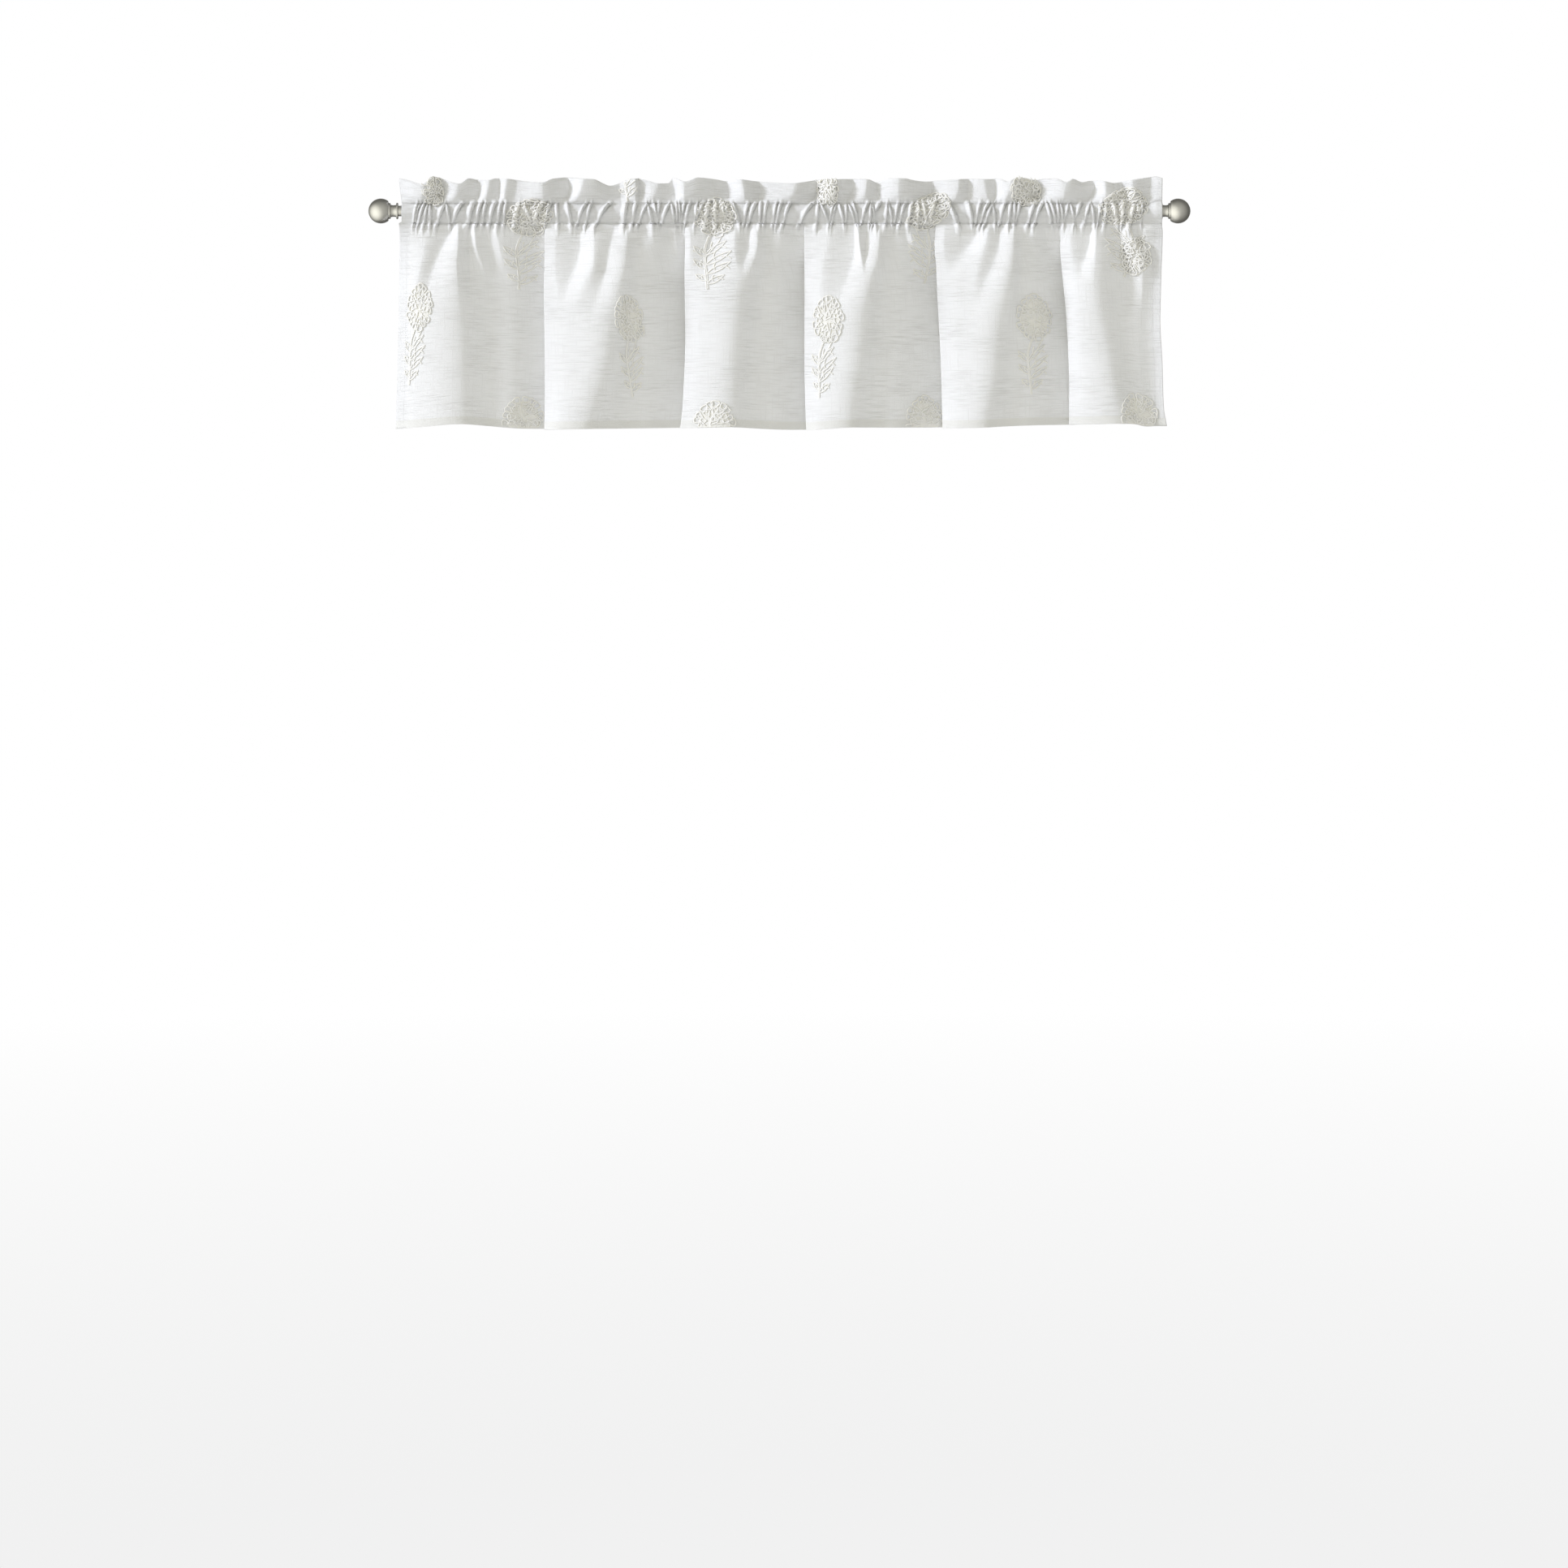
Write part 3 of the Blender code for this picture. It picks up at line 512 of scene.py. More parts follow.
def skirt_row(level):
    x, forward, hem = np.zeros(COLUMNS), np.zeros(COLUMNS), np.zeros(COLUMNS)
    for index in range(len(FOLD_DEPTHS)):
        mine = fold_of == index
        curve = fold_plan(index, level)
        run = run_along(curve[:, :2])
        at = fold_share[mine] * run[-1]
        x[mine], forward[mine], hem[mine] = (np.interp(at, run, curve[:, k]) for k in range(3))
    height = SEAM_LOW + (hem - SEAM_LOW) * level
    view_y = float(view_y_of(SEAM_LOW - level * SKIRT_DROP))
    lips = np.array([line_place(line, view_y) for line in LIP_LINES])
    own = np.clip(x, lips[fold_of], lips[fold_of + 1])
    forward += TUCK_DEPTH * relief(TUCK_LINES, view_y, own, lips, TUCK_START, *TUCK_SHAPE)
    forward += ridge_height(own, view_y) + ROD_GAP + SEAM_OUT_LOW * math.exp(-level / SEAM_EASE)
    forward -= SEAM_DIP * bell(level * SKIRT_DROP, DIP_WIDTH)
    return np.stack([x, forward, height], axis=1)


front_skirt = [skirt_row(level) for level in skirt_levels]
print("skirt rows:", len(front_skirt))

# %% Rows of the pocket and the heading
POCKET_ROWS = 13
BACK_POCKET_ROWS, BACK_RIDGES, RIDGE_UP, RIDGE_OUT = 9, 0.7, 0.6, 0.35
HEADING_LEVELS = [0.03, 0.07, 0.12, 0.19, 0.28, 0.38, 0.50, 0.62, 0.75, 0.87, 0.95, 0.985]
BACK_LEVELS = [0.985, 0.95, 0.85, 0.68, 0.5, 0.32, 0.18, 0.08]
# The lobes start at part of their depth, and the two layers close at the seam and at the top fold.
LOBE_AT_SEAM, LOBE_GROWTH, LOBE_FULL = 0.45, 0.55, 0.22
LAYERS_OPEN, LAYERS_CLOSE, LEAST_OPEN, DEEPEST_GROOVE = 0.15, 0.03, 0.25, -0.4


def pocket_rows(side, count):
    """Rows from the lower seam to the upper one, round the rod. side is 1 in front and -1 behind."""
    points = [(side * SEAM_OUT_LOW + ROD_GAP, SEAM_LOW, 0.0)]
    points += [(r * math.sin(math.radians(a)), r * math.cos(math.radians(a)), 0.0) for a, r in POCKET_SECTION]
    points.append((side * SEAM_OUT_TOP + ROD_GAP, SEAM_TOP, 0.0))
    curve = curve_through(points)
    run = run_along(curve)
    rows = []
    for k in range(1, count):
        forward, height = (np.interp(run[-1] * k / count, run, curve[:, part]) for part in (0, 1))
        distance = math.hypot(forward, height)
        grow = 1.0 + (max(MOUTH_RADIUS / distance, 1.0) - 1.0) * mouth
        lift = ridge_height(x_pocket, float(view_y_of(height))) * (1.0 if side > 0 else BACK_RIDGES)
        f = forward * grow + lift * max(forward / distance, RIDGE_OUT)
        z = height * grow + lift * (height / distance) * RIDGE_UP
        rows.append(np.stack([x_pocket, side * f, z], axis=1))
    return rows


def heading_row(level, side):
    top = smooth_line(crown_heights, x_crown)
    height = top_seam + (top - top_seam) * level
    x = x_pocket + (x_crown - x_pocket) * level
    view_y = float(view_y_of(SEAM_TOP + (LOBE_TOP - SEAM_TOP) * level))
    middle = relief(HEADING_LINES, view_y, x, [float(across(LOBE_END))], LOBE_START, *LOBE_SHAPE)
    middle = HEADING_DEPTH * middle * (LOBE_AT_SEAM + LOBE_GROWTH * smoothstep(level / LOBE_FULL))
    middle += SEAM_OUT_TOP - HEADING_BACK * level
    gathers = np.maximum(ridge_height(x, view_y), DEEPEST_GROOVE) if side > 0 else 0.0
    half = 0.5 * HEADING_GAP * min(1.0, level / LAYERS_OPEN, (1.0 - level) / LAYERS_CLOSE + LEAST_OPEN)
    half += ROD_GAP * (level < LAYERS_OPEN)
    return np.stack([x, middle + gathers + side * half, height], axis=1)


def seam_row(side, height, out):
    view_y = float(view_y_of(np.mean(height)))
    lift = ridge_height(x_pocket, view_y) if side > 0 else np.zeros(COLUMNS)
    forward = out - SEAM_DIP + side * ROD_GAP + lift
    return np.stack([x_pocket, forward, np.broadcast_to(height, (COLUMNS,))], axis=1)


front_pocket = pocket_rows(1, POCKET_ROWS)
back_pocket = pocket_rows(-1, BACK_POCKET_ROWS)
tail = seam_row(-1, np.full(COLUMNS, TAIL_HEIGHT), SEAM_OUT_LOW)
tail[:, 1] += SEAM_DIP - TAIL_DIP
sheet = np.array([
    *front_skirt[::-1], *front_pocket, seam_row(1, top_seam, SEAM_OUT_TOP),
    *(heading_row(level, 1) for level in HEADING_LEVELS), heading_row(1.0, 0),
    *(heading_row(level, -1) for level in BACK_LEVELS), seam_row(-1, top_seam, SEAM_OUT_TOP),
    *back_pocket[::-1], seam_row(-1, np.full(COLUMNS, SEAM_LOW), SEAM_OUT_LOW), tail])
print("front, crown and back rows:", sheet.shape)

# %% Hems folded to the wrong side
TURN_UP_GAP, SIDE_GAP = 1.5, 0.9
HEM_ROWS, WIDTH_ROW = 4, 40
SIDE_HEM = np.array([1.0, 5.0, 10.0, 15.0])


def wrong_side(grid):
    """Unit vectors off the back of the cloth, from the grid's own neighbours."""
    along = np.gradient(grid, axis=1)
    upward = np.gradient(grid, axis=0)
    normal = np.cross(along, upward)
    return normal / np.maximum(np.linalg.norm(normal, axis=2, keepdims=True), 1e-9)


def in_metres(grid):
    """Grid values are (right, forward, up) in millimetres, and the front is on the -Y side."""
    return np.stack([grid[..., 0], -grid[..., 1], grid[..., 2]], axis=-1) * MM


back = wrong_side(sheet)
turn_up = [sheet[k] + TURN_UP_GAP * back[k] for k in range(HEM_ROWS + 1, 1, -1)]
print("turn-up side is", round(float(back[6:30, :, 1].mean()), 2), "forward, so behind when negative")
sheet = np.concatenate([np.array(turn_up), sheet], axis=0)
back = wrong_side(sheet)

hem_run = run_along(sheet[HEM_ROWS])
row_gaps = np.median(np.linalg.norm(np.diff(sheet, axis=0), axis=2), axis=1)
flat_v = np.concatenate([[0.0], np.cumsum(row_gaps)])
flat_v -= flat_v[HEM_ROWS]


def side_columns(edge, step):
    """Columns folded in behind one side edge, nearest to the edge first."""
    run = run_along(sheet[WIDTH_ROW][::step])
    picked = [edge + step * int(np.searchsorted(run, width)) for width in SIDE_HEM]
    return [sheet[:, column] + SIDE_GAP * back[:, column] for column in picked]


left, right = side_columns(0, 1), side_columns(COLUMNS - 1, -1)
sheet = np.concatenate([np.stack(left[::-1], 1), sheet, np.stack(right, 1)], axis=1)
flat_u = np.concatenate([-SIDE_HEM[::-1], hem_run, hem_run[-1] + SIDE_HEM])

# %% The cloth as a mesh with its flat coordinates
def grid_mesh(name, grids, flat=None):
    """One smooth mesh of one or more grids, with the flat coordinates of the first where they are given."""
    points, quads = [], []
    for grid in grids:
        corner = np.arange(grid.shape[0] * grid.shape[1]).reshape(grid.shape[:2]) + len(points)
        quads += np.stack([corner[:-1, :-1], corner[:-1, 1:], corner[1:, 1:], corner[1:, :-1]],
                          -1).reshape(-1, 4).tolist()
        points += in_metres(grid).reshape(-1, 3).tolist()
    mesh = bpy.data.meshes.new(name)
    mesh.from_pydata(points, [], quads)
    if flat:
        u, v = flat
        places = np.stack(np.broadcast_arrays(u[None, :] * MM, v[:, None] * MM), -1).reshape(-1, 2)
        layer = mesh.uv_layers.new(name="flat cloth")
        layer.data.foreach_set("uv", places[np.array(quads).ravel()].astype(np.float32).ravel())
    mesh.shade_smooth()
    return mesh


def add_piece(name, mesh, material, slot, *replaced):
    piece = bpy.data.objects.new(name, mesh)
    bpy.context.scene.collection.objects.link(piece)
    mesh.materials.clear()
    mesh.materials.append(material)
    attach(piece, "root")
    if replaced:
        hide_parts(*replaced)
    triangles = sum(len(p.vertices) - 2 for p in mesh.polygons)
    print(name, "has", triangles, "triangles")
    return piece


cloth_mesh = grid_mesh("valance_cloth", [sheet], (flat_u, flat_v))
print("cloth mesh:", len(cloth_mesh.vertices), "points")

# %% [markdown]
# ## Sprig embroidery
#
# Each sprig is looped cream thread: a rounded head of small petals over close-set stitches, a slim stem and
# narrow leaves with twigs. Three sprigs are drawn flat, with a few rules and fixed seeds. Then they are laid
# on the cloth through its own flat coordinates, so they bend with every fold, as stitched thread does. Where
# a head is gathered into the pocket, a second set of loops stands higher, like crumpled thread.

# %% Draw the sprigs, flat
PETAL_POINTS, LEAF_POINTS, LEAF_WIDTH, TWIG_WIDTH = 12, 8, 7.0, 4.0
STEM = ((0, -4), (-1, 18), (-2.5, 40), (-2, 60), (3, 74), (9, 86))
BRANCH = ((-2.5, 44), (6, 56), (16, 68), (24, 82), (28, 92))
# Side, height, angle and length of each leaf. Then place, swing and size of the twigs on a leaf.
LEAVES = [(1, 4, 0.60, 25), (1, 19, 0.60, 36), (1, 33, 0.62, 41), (1, 48, 0.68, 38),
          (-1, 9, 0.70, 17), (-1, 27, 0.78, 22), (-1, 46, 0.85, 22)]
TWIGS = ((0.35, 0.9, 0.34), (0.6, -0.85, 0.30))
HEAD_HALF, HEAD_MIDDLE = np.array([24.0, 30.0]), np.array([14.0, 113.0])
# Rings of petals: share of the head's size and length of a petal.
PETAL_RINGS = ((0.78, 12.0), (0.50, 11.5), (0.20, 10.5))
PETAL_SPACING, PETAL_TURN = 8.8, 0.26
SPRIG_SEEDS = (7, 11, 19)


def aimed(base, direction, out, side):
    """Points that lie out along a direction from the base, and to the side of it."""
    c, s = math.cos(direction), math.sin(direction)
    return np.stack([base[0] + out * c - side * s, base[1] + out * s + side * c], 1)


def petal(base, direction, length, width):
    """A small closed loop of thread that starts and ends at its base."""
    t = np.linspace(0.0, 1.0, PETAL_POINTS)
    return aimed(base, direction, np.sin(math.pi * t) ** 0.75 * length, np.sin(2 * math.pi * t) * width * 0.5)


def leaf(base, direction, length, width):
    """The two bowed threads of a pointed leaf."""
    t = np.linspace(0.0, 1.0, LEAF_POINTS)
    return [aimed(base, direction, t * length, np.sin(math.pi * t ** 0.85) * width * bow)
            for bow in (0.5, -0.5)]


def stroke(points):
    """A thread through a few points, with every fifth point of the smooth curve and the last one."""
    return np.vstack([curve_through(points)[::5], [points[-1]]])


def head_loops(rng, middle, half):
    """Rings of small petals that fill an oval."""
    loops = []
    for ring, length in PETAL_RINGS:
        count = max(4, round(math.pi * half.sum() * (ring + 0.1) / PETAL_SPACING))
        for k in range(count):
            angle = 2 * math.pi * (k + 0.3 * rng.random()) / count
            spoke = half * [math.cos(angle), math.sin(angle)]
            facing = math.atan2(*(spoke[::-1] * half)) + rng.normal(0, PETAL_TURN / ring)
            long = length * rng.uniform(0.8, 1.2)
            loops.append(petal(middle + ring * spoke, facing, long, long * rng.uniform(0.8, 1.1)))
    return loops


def draw_sprig(seed):
    """The head's loops and the other threads of one flower sprig, 143 mm tall, with its foot at (0, 0)."""
    rng = np.random.default_rng(seed)
    loops, lines = head_loops(rng, HEAD_MIDDLE, HEAD_HALF), []
    lines += [stroke([(x + aside, y) for x, y in STEM]) for aside in (-0.9, 0.9)]
    lines.append(stroke(BRANCH))
    for side, y, angle, length in LEAVES:
        turn = angle + rng.normal(0, 0.06)
        facing = turn if side > 0 else math.pi - turn
        heading = np.array([math.cos(facing), math.sin(facing)])
        base = np.array([-0.06 * y, y])
        lines += leaf(base, facing, length, LEAF_WIDTH)
        for share, swing, size in TWIGS:
            twig = leaf(base + share * length * heading, facing + side * swing, size * length, TWIG_WIDTH)
            lines.append(twig[0])
    return loops, lines


sprig_kinds = [draw_sprig(seed) for seed in SPRIG_SEEDS]
print("sprigs of", [len(loops) + len(lines) for loops, lines in sprig_kinds], "threads")

# %% From the flat cloth to its folds
# The sheet without its side hems, for laying threads on its front.
inner = sheet[:, len(SIDE_HEM):-len(SIDE_HEM)]
inner_normal = -wrong_side(inner)
SEAM_ROW_LOW = HEM_ROWS + len(front_skirt) - 1
SEAM_ROW_TOP = SEAM_ROW_LOW + len(front_pocket) + 1
FRONT_LAST_ROW = SEAM_ROW_TOP + 1 + len(HEADING_LEVELS)


def flat_place(view_x, view_y):
    """Flat coordinates of the front of the cloth at a point of the front view."""
    front = inner[HEM_ROWS:FRONT_LAST_ROW + 1]
    miss = (front[..., 0] - across(view_x)) ** 2 + (front[..., 2] - up(view_y)) ** 2 - 0.02 * front[..., 1]
    row, column = np.unravel_index(np.argmin(miss), miss.shape)
    return hem_run[column], flat_v[HEM_ROWS + row]


def on_cloth(u, v, lift):
    """Points of the object on the front of the cloth at flat coordinates."""
    column = np.clip(np.interp(u, hem_run, np.arange(COLUMNS)), 0, COLUMNS - 1.001)
    row = np.clip(np.interp(v, flat_v, np.arange(len(flat_v))), 0, len(flat_v) - 1.001)
    c, r = column.astype(int), row.astype(int)
    s, t = (column - c)[..., None], (row - r)[..., None]

    def at(field):
        return ((1 - t) * ((1 - s) * field[r, c] + s * field[r, c + 1])
                + t * ((1 - s) * field[r + 1, c] + s * field[r + 1, c + 1]))
    return at(inner) + np.asarray(lift)[..., None] * at(inner_normal)


print("front rows:", HEM_ROWS, "to", FRONT_LAST_ROW, " seams at rows", SEAM_ROW_LOW, "and", SEAM_ROW_TOP)

# %% Close-set stitches and threads on the cloth
CLEAR, FILL_LIFT, FILL_RELIEF = 2.0, 0.30, 0.35
FILL_ACROSS, FILL_ROW, FILL_GRAIN, SCALLOP = 38, 1.7, 0.24, 11.0
thread_lines, fills = [], []


def fill_patch(middle_u, middle_v, half_width, half_height, seed):
    """Close-set stitches of one head, as a grid that follows its scalloped oval, or None where cut off."""
    low = max(middle_v - half_height * 0.97, 0.8)
    top = min(middle_v + half_height * 0.97, flat_v[FRONT_LAST_ROW] - 1.0)
    if top - low < 6.0:
        return None
    v = np.linspace(low, top, max(6, int((top - low) / FILL_ROW)))[:, None] + np.zeros((1, FILL_ACROSS))
    reach = np.sqrt(np.maximum(1.0 - ((v - middle_v) / half_height) ** 2, 0.03))
    reach = reach * (0.90 + 0.13 * np.abs(np.sin(math.pi * (v - middle_v) / SCALLOP)))
    side = np.linspace(-1.0, 1.0, FILL_ACROSS)[None, :]
    u = np.clip(middle_u + side * half_width * reach, CLEAR, hem_run[-1] - CLEAR)
    bumps = np.array([[noise.noise(Vector((a * FILL_GRAIN, b * FILL_GRAIN, seed))) for a, b in zip(x, y)]
                      for x, y in zip(u, v)])
    edge = np.clip((1.0 - np.abs(side)) * 6.0, 0.0, 1.0) * np.ones_like(u)
    return on_cloth(u, v, FILL_LIFT + FILL_RELIEF * edge * (0.6 + 1.6 * bumps))


def lay_thread(u, v, lift):
    """Lay one drawn thread on the cloth, without the parts that fall off its front."""
    keep = (v > 1.5) & (v < flat_v[FRONT_LAST_ROW]) & (u > CLEAR) & (u < hem_run[-1] - CLEAR)
    for part in np.split(np.arange(len(u)), np.where(~keep)[0]):
        part = part[keep[part]]
        if len(part) > 3:
            thread_lines.append([on_cloth(u[part], v[part], height) for height in (lift, lift + 1.0)])


print("threads and fills keep", CLEAR, "mm off the side edges")

# %% Lay the sprigs on the cloth
THREAD_LIFT, LOOP_LIFT = 0.60, 1.15
CRUMPLED_ABOVE, CRUMPLE_LIFT, CRUMPLE_SIZE = 360, 2.4, 0.9
CRUMPLE_SEED, LOOSE_SEED, LOOSE_CRUMPLE_SEED = 80, 50, 70
SEEN_TOP, LOWEST_SEEN = 222, 515
# Each foot in the front view, how much the sprig is widened, and where the middle of its head is across.
SPRIG_FEET = [(641, 351, 1.45, 653), (872, 351, 1.4, 883), (1139, 349, -1.3, 1143), (1384, 341, -1.2, 1383),
              (505, 469, 0.72, 519), (779, 481, 0.74, 775), (1010, 490, 0.78, 1020), (1270, 484, 0.96, 1275),
              (637, 607, 1.08, 646), (870, 613, 1.05, 880), (1130, 607, 1.05, 1140), (1396, 603, 1.0, 1403),
              (532, 247, 1, 540), (774, 246, 1, 780), (1014, 247, 1, 1022), (1256, 246, 1, 1262)]
# Parts of heads that reach the heading: middle in the view, half width and half height.
LOOSE_HEADS = [(1263, 236, 24, 18), (537, 238, 9, 13), (1020, 236, 12, 18), (1397, 313, 15, 22)]

for k, (view_x, view_y, widen, head_x) in enumerate(SPRIG_FEET):
    seen = min(view_y, LOWEST_SEEN)
    foot_u, foot_v = flat_place(view_x, seen)
    foot_v -= (view_y - seen) * STEP
    head_u = flat_place(head_x, max(min(view_y - HEAD_MIDDLE[1] / STEP, LOWEST_SEEN), SEEN_TOP))[0]
    lean = (head_u - HEAD_MIDDLE[0] * widen - foot_u) / HEAD_MIDDLE[1]
    fills.append(fill_patch(head_u, foot_v + HEAD_MIDDLE[1], *(HEAD_HALF * [abs(widen), 1.0]), k))
    layers = [*zip(sprig_kinds[k % len(sprig_kinds)], (LOOP_LIFT, THREAD_LIFT))]
    if view_y < CRUMPLED_ABOVE:
        rng = np.random.default_rng(CRUMPLE_SEED + k)
        layers.insert(0, (head_loops(rng, HEAD_MIDDLE, CRUMPLE_SIZE * HEAD_HALF), CRUMPLE_LIFT))
    for lines, lift in layers:
        for x, y in (line.T for line in lines):
            lay_thread(foot_u + widen * x + lean * y, foot_v + y, lift)
for k, (view_x, view_y, half_width, half_height) in enumerate(LOOSE_HEADS):
    middle = np.array(flat_place(view_x, view_y))
    fills.append(fill_patch(*middle, half_width, half_height, LOOSE_SEED + k))
    for seed, lift in ((LOOSE_SEED, LOOP_LIFT), (LOOSE_CRUMPLE_SEED, CRUMPLE_LIFT)):
        for line in head_loops(np.random.default_rng(seed + k), middle, np.array([half_width, half_height])):
            lay_thread(*line.T, lift)
fills = [patch for patch in fills if patch is not None]
print("threads on the cloth:", len(thread_lines), " filled heads:", len(fills))

# %% [markdown]
# ## Node trees
#
# One helper builds every node tree below. It adds a node with its settings, gives each input a value or links
# a socket to it, and hands back one of the node's outputs, ready for the next node.

# %% Helpers for node trees
def put(tree, kind, inputs, out=0, **settings):
    """Add a node, set it up, fill or link its inputs, and return one of its outputs."""
    new = tree.nodes.new(kind)
    for name, value in settings.items():
        setattr(new, name, value)
    for name, value in inputs.items():
        if isinstance(value, bpy.types.NodeSocket):
            tree.links.new(value, new.inputs[name])
        else:
            new.inputs[name].default_value = value
    return new.outputs[out] if len(new.outputs) else None


def maths(tree, operation, a, b):
    return put(tree, "ShaderNodeMath", {0: a, 1: b}, operation=operation)


def new_tree(name, sizes):
    """A geometry tree with a named input for each size and for the finish, and its input sockets."""
    tree = bpy.data.node_groups.new(name, "GeometryNodeTree")
    tree.interface.new_socket("Geometry", in_out="INPUT", socket_type="NodeSocketGeometry")
    for title, value in sizes.items():
        socket = tree.interface.new_socket(title, in_out="INPUT", socket_type="NodeSocketFloat")
        socket.default_value = value
    tree.interface.new_socket("Finish", in_out="INPUT", socket_type="NodeSocketMaterial")
    tree.interface.new_socket("Geometry", in_out="OUTPUT", socket_type="NodeSocketGeometry")
    return tree, tree.nodes.new("NodeGroupInput").outputs


def end_tree(tree, given, geometry):
    """Make the instances real, shade them smooth and give them the finish."""
    real = put(tree, "GeometryNodeRealizeInstances", {"Geometry": geometry})
    smooth = put(tree, "GeometryNodeSetShadeSmooth", {"Geometry": real})
    dressed = put(tree, "GeometryNodeSetMaterial", {"Geometry": smooth, "Material": given["Finish"]})
    put(tree, "NodeGroupOutput", {"Geometry": dressed})
    return tree


print("helpers for node trees:", put.__name__, maths.__name__, new_tree.__name__, end_tree.__name__)

# %% Thread tubes by Geometry Nodes
THREAD_SIZES = {"Thread radius": 0.0011, "Flatness": 0.52, "Step": 0.0025, "Wobble": 0.0005}
WAVER_SCALE, THREAD_SIDES = 420.0, 5


def thread_tree(sizes):
    tree, given = new_tree("looped thread", sizes)
    line = put(tree, "GeometryNodeMeshToCurve", {"Mesh": given["Geometry"]})
    line = put(tree, "GeometryNodeResampleCurve", {"Curve": line, "Length": given["Step"]}, mode="LENGTH")
    waver = put(tree, "ShaderNodeTexNoise", {"Scale": WAVER_SCALE}, "Color")
    centred = put(tree, "ShaderNodeVectorMath", {0: waver, 1: (0.5, 0.5, 0.5)}, operation="SUBTRACT")
    moved = put(tree, "ShaderNodeVectorMath", {0: centred, "Scale": given["Wobble"]}, operation="SCALE")
    line = put(tree, "GeometryNodeSetPosition", {"Geometry": line, "Offset": moved})
    off_cloth = put(tree, "GeometryNodeInputNamedAttribute", {"Name": "off cloth"}, "Attribute",
                    data_type="FLOAT_VECTOR")
    line = put(tree, "GeometryNodeSetCurveNormal", {"Curve": line, "Normal": off_cloth}, mode="FREE")
    ring = put(tree, "GeometryNodeCurvePrimitiveCircle",
               {"Resolution": THREAD_SIDES, "Radius": given["Thread radius"]})
    flat = put(tree, "ShaderNodeCombineXYZ", {"X": given["Flatness"], "Y": 1.0, "Z": 1.0})
    oval = put(tree, "GeometryNodeTransform", {"Geometry": ring, "Scale": flat})
    tube = put(tree, "GeometryNodeCurveToMesh", {"Curve": line, "Profile Curve": oval, "Fill Caps": True})
    return end_tree(tree, given, tube)


looped_thread = thread_tree(THREAD_SIZES)
print("thread tree:", len(looped_thread.nodes), "nodes")


# %% Run a node tree on drawn lines
def line_mesh(name, lines, lifted=()):
    """A mesh of loose edges through each line of points, which may keep the way off the cloth."""
    points, edges = [], []
    for line in lines:
        first = len(points)
        points += in_metres(np.asarray(line)).tolist()
        edges += [(first + k, first + k + 1) for k in range(len(line) - 1)]
    mesh = bpy.data.meshes.new(name)
    mesh.from_pydata(points, edges, [])
    if lifted:
        away = in_metres(np.vstack(lifted) - np.vstack(lines)) / MM
        mesh.attributes.new("off cloth", "FLOAT_VECTOR", "POINT").data.foreach_set(
            "vector", away.astype(np.float32).ravel())
    return mesh


def grow(name, mesh, tree, finish):
    """Run a node tree on a mesh, with its finish set by identifier, and return the plain mesh."""
    carrier = bpy.data.objects.new(name, mesh)
    bpy.context.scene.collection.objects.link(carrier)
    modifier = carrier.modifiers.new(name, "NODES")
    modifier.node_group = tree
    identifiers = {item.name: item.identifier for item in tree.interface.items_tree if item.in_out == "INPUT"}
    modifier[identifiers["Finish"]] = finish
    bpy.context.view_layer.update()
    evaluated = carrier.evaluated_get(bpy.context.evaluated_depsgraph_get())
    result = bpy.data.meshes.new_from_object(evaluated)
    carrier.modifiers.remove(modifier)
    bpy.data.objects.remove(carrier, do_unlink=True)
    result.name = name
    return result


print("a thread is", len(thread_lines[0][0]), "points long before its tube is made")

# %% Sewn stitches by Geometry Nodes
STITCH_SIZES = {"Pitch": 0.0030, "Stitch length": 0.0021, "Stitch radius": 0.00024}
BEAD_SEGMENTS, BEAD_RINGS = 5, 4
STITCH_LIFT, STITCH_STEP, END_COLUMNS = 0.15, 2.0, 4


def stitch_tree(sizes):
    tree, given = new_tree("sewn stitches", sizes)
    seam = put(tree, "GeometryNodeMeshToCurve", {"Mesh": given["Geometry"]})
    points = put(tree, "GeometryNodeCurveToPoints", {"Curve": seam, "Length": given["Pitch"]}, mode="LENGTH")
    tangent = points.node.outputs["Tangent"]
    turn = put(tree, "FunctionNodeAlignRotationToVector", {"Vector": tangent}, axis="Z")
    radius, half_length = given["Stitch radius"], maths(tree, "MULTIPLY", given["Stitch length"], 0.5)
    size = put(tree, "ShaderNodeCombineXYZ", {"X": radius, "Y": radius, "Z": half_length})
    bead = put(tree, "GeometryNodeMeshUVSphere",
               {"Segments": BEAD_SEGMENTS, "Rings": BEAD_RINGS, "Radius": 1.0})
    placed = put(tree, "GeometryNodeInstanceOnPoints",
                 {"Points": points, "Instance": bead, "Rotation": turn, "Scale": size})
    return end_tree(tree, given, placed)


def stitched(u, v):
    return on_cloth(*np.broadcast_arrays(u, v), STITCH_LIFT)


span = np.arange(END_COLUMNS, COLUMNS - END_COLUMNS)
stitch_lines = [inner[row, span] + STITCH_LIFT * inner_normal[row, span]
                for row in (SEAM_ROW_LOW, SEAM_ROW_TOP)]
stitch_lines.append(stitched(np.arange(3.0, hem_run[-1] - 3.0, STITCH_STEP), HEM_BAND - 1.0))
climb = np.arange(2.0, flat_v[SEAM_ROW_LOW] - 1.0, STITCH_STEP)
side_stitch = SIDE_HEM[-1] - 1.5
stitch_lines += [stitched(edge_u, climb) for edge_u in (side_stitch, hem_run[-1] - side_stitch)]
sewn_stitches = stitch_tree(STITCH_SIZES)
print("stitch lines:", len(stitch_lines), " stitch tree:", len(sewn_stitches.nodes), "nodes")

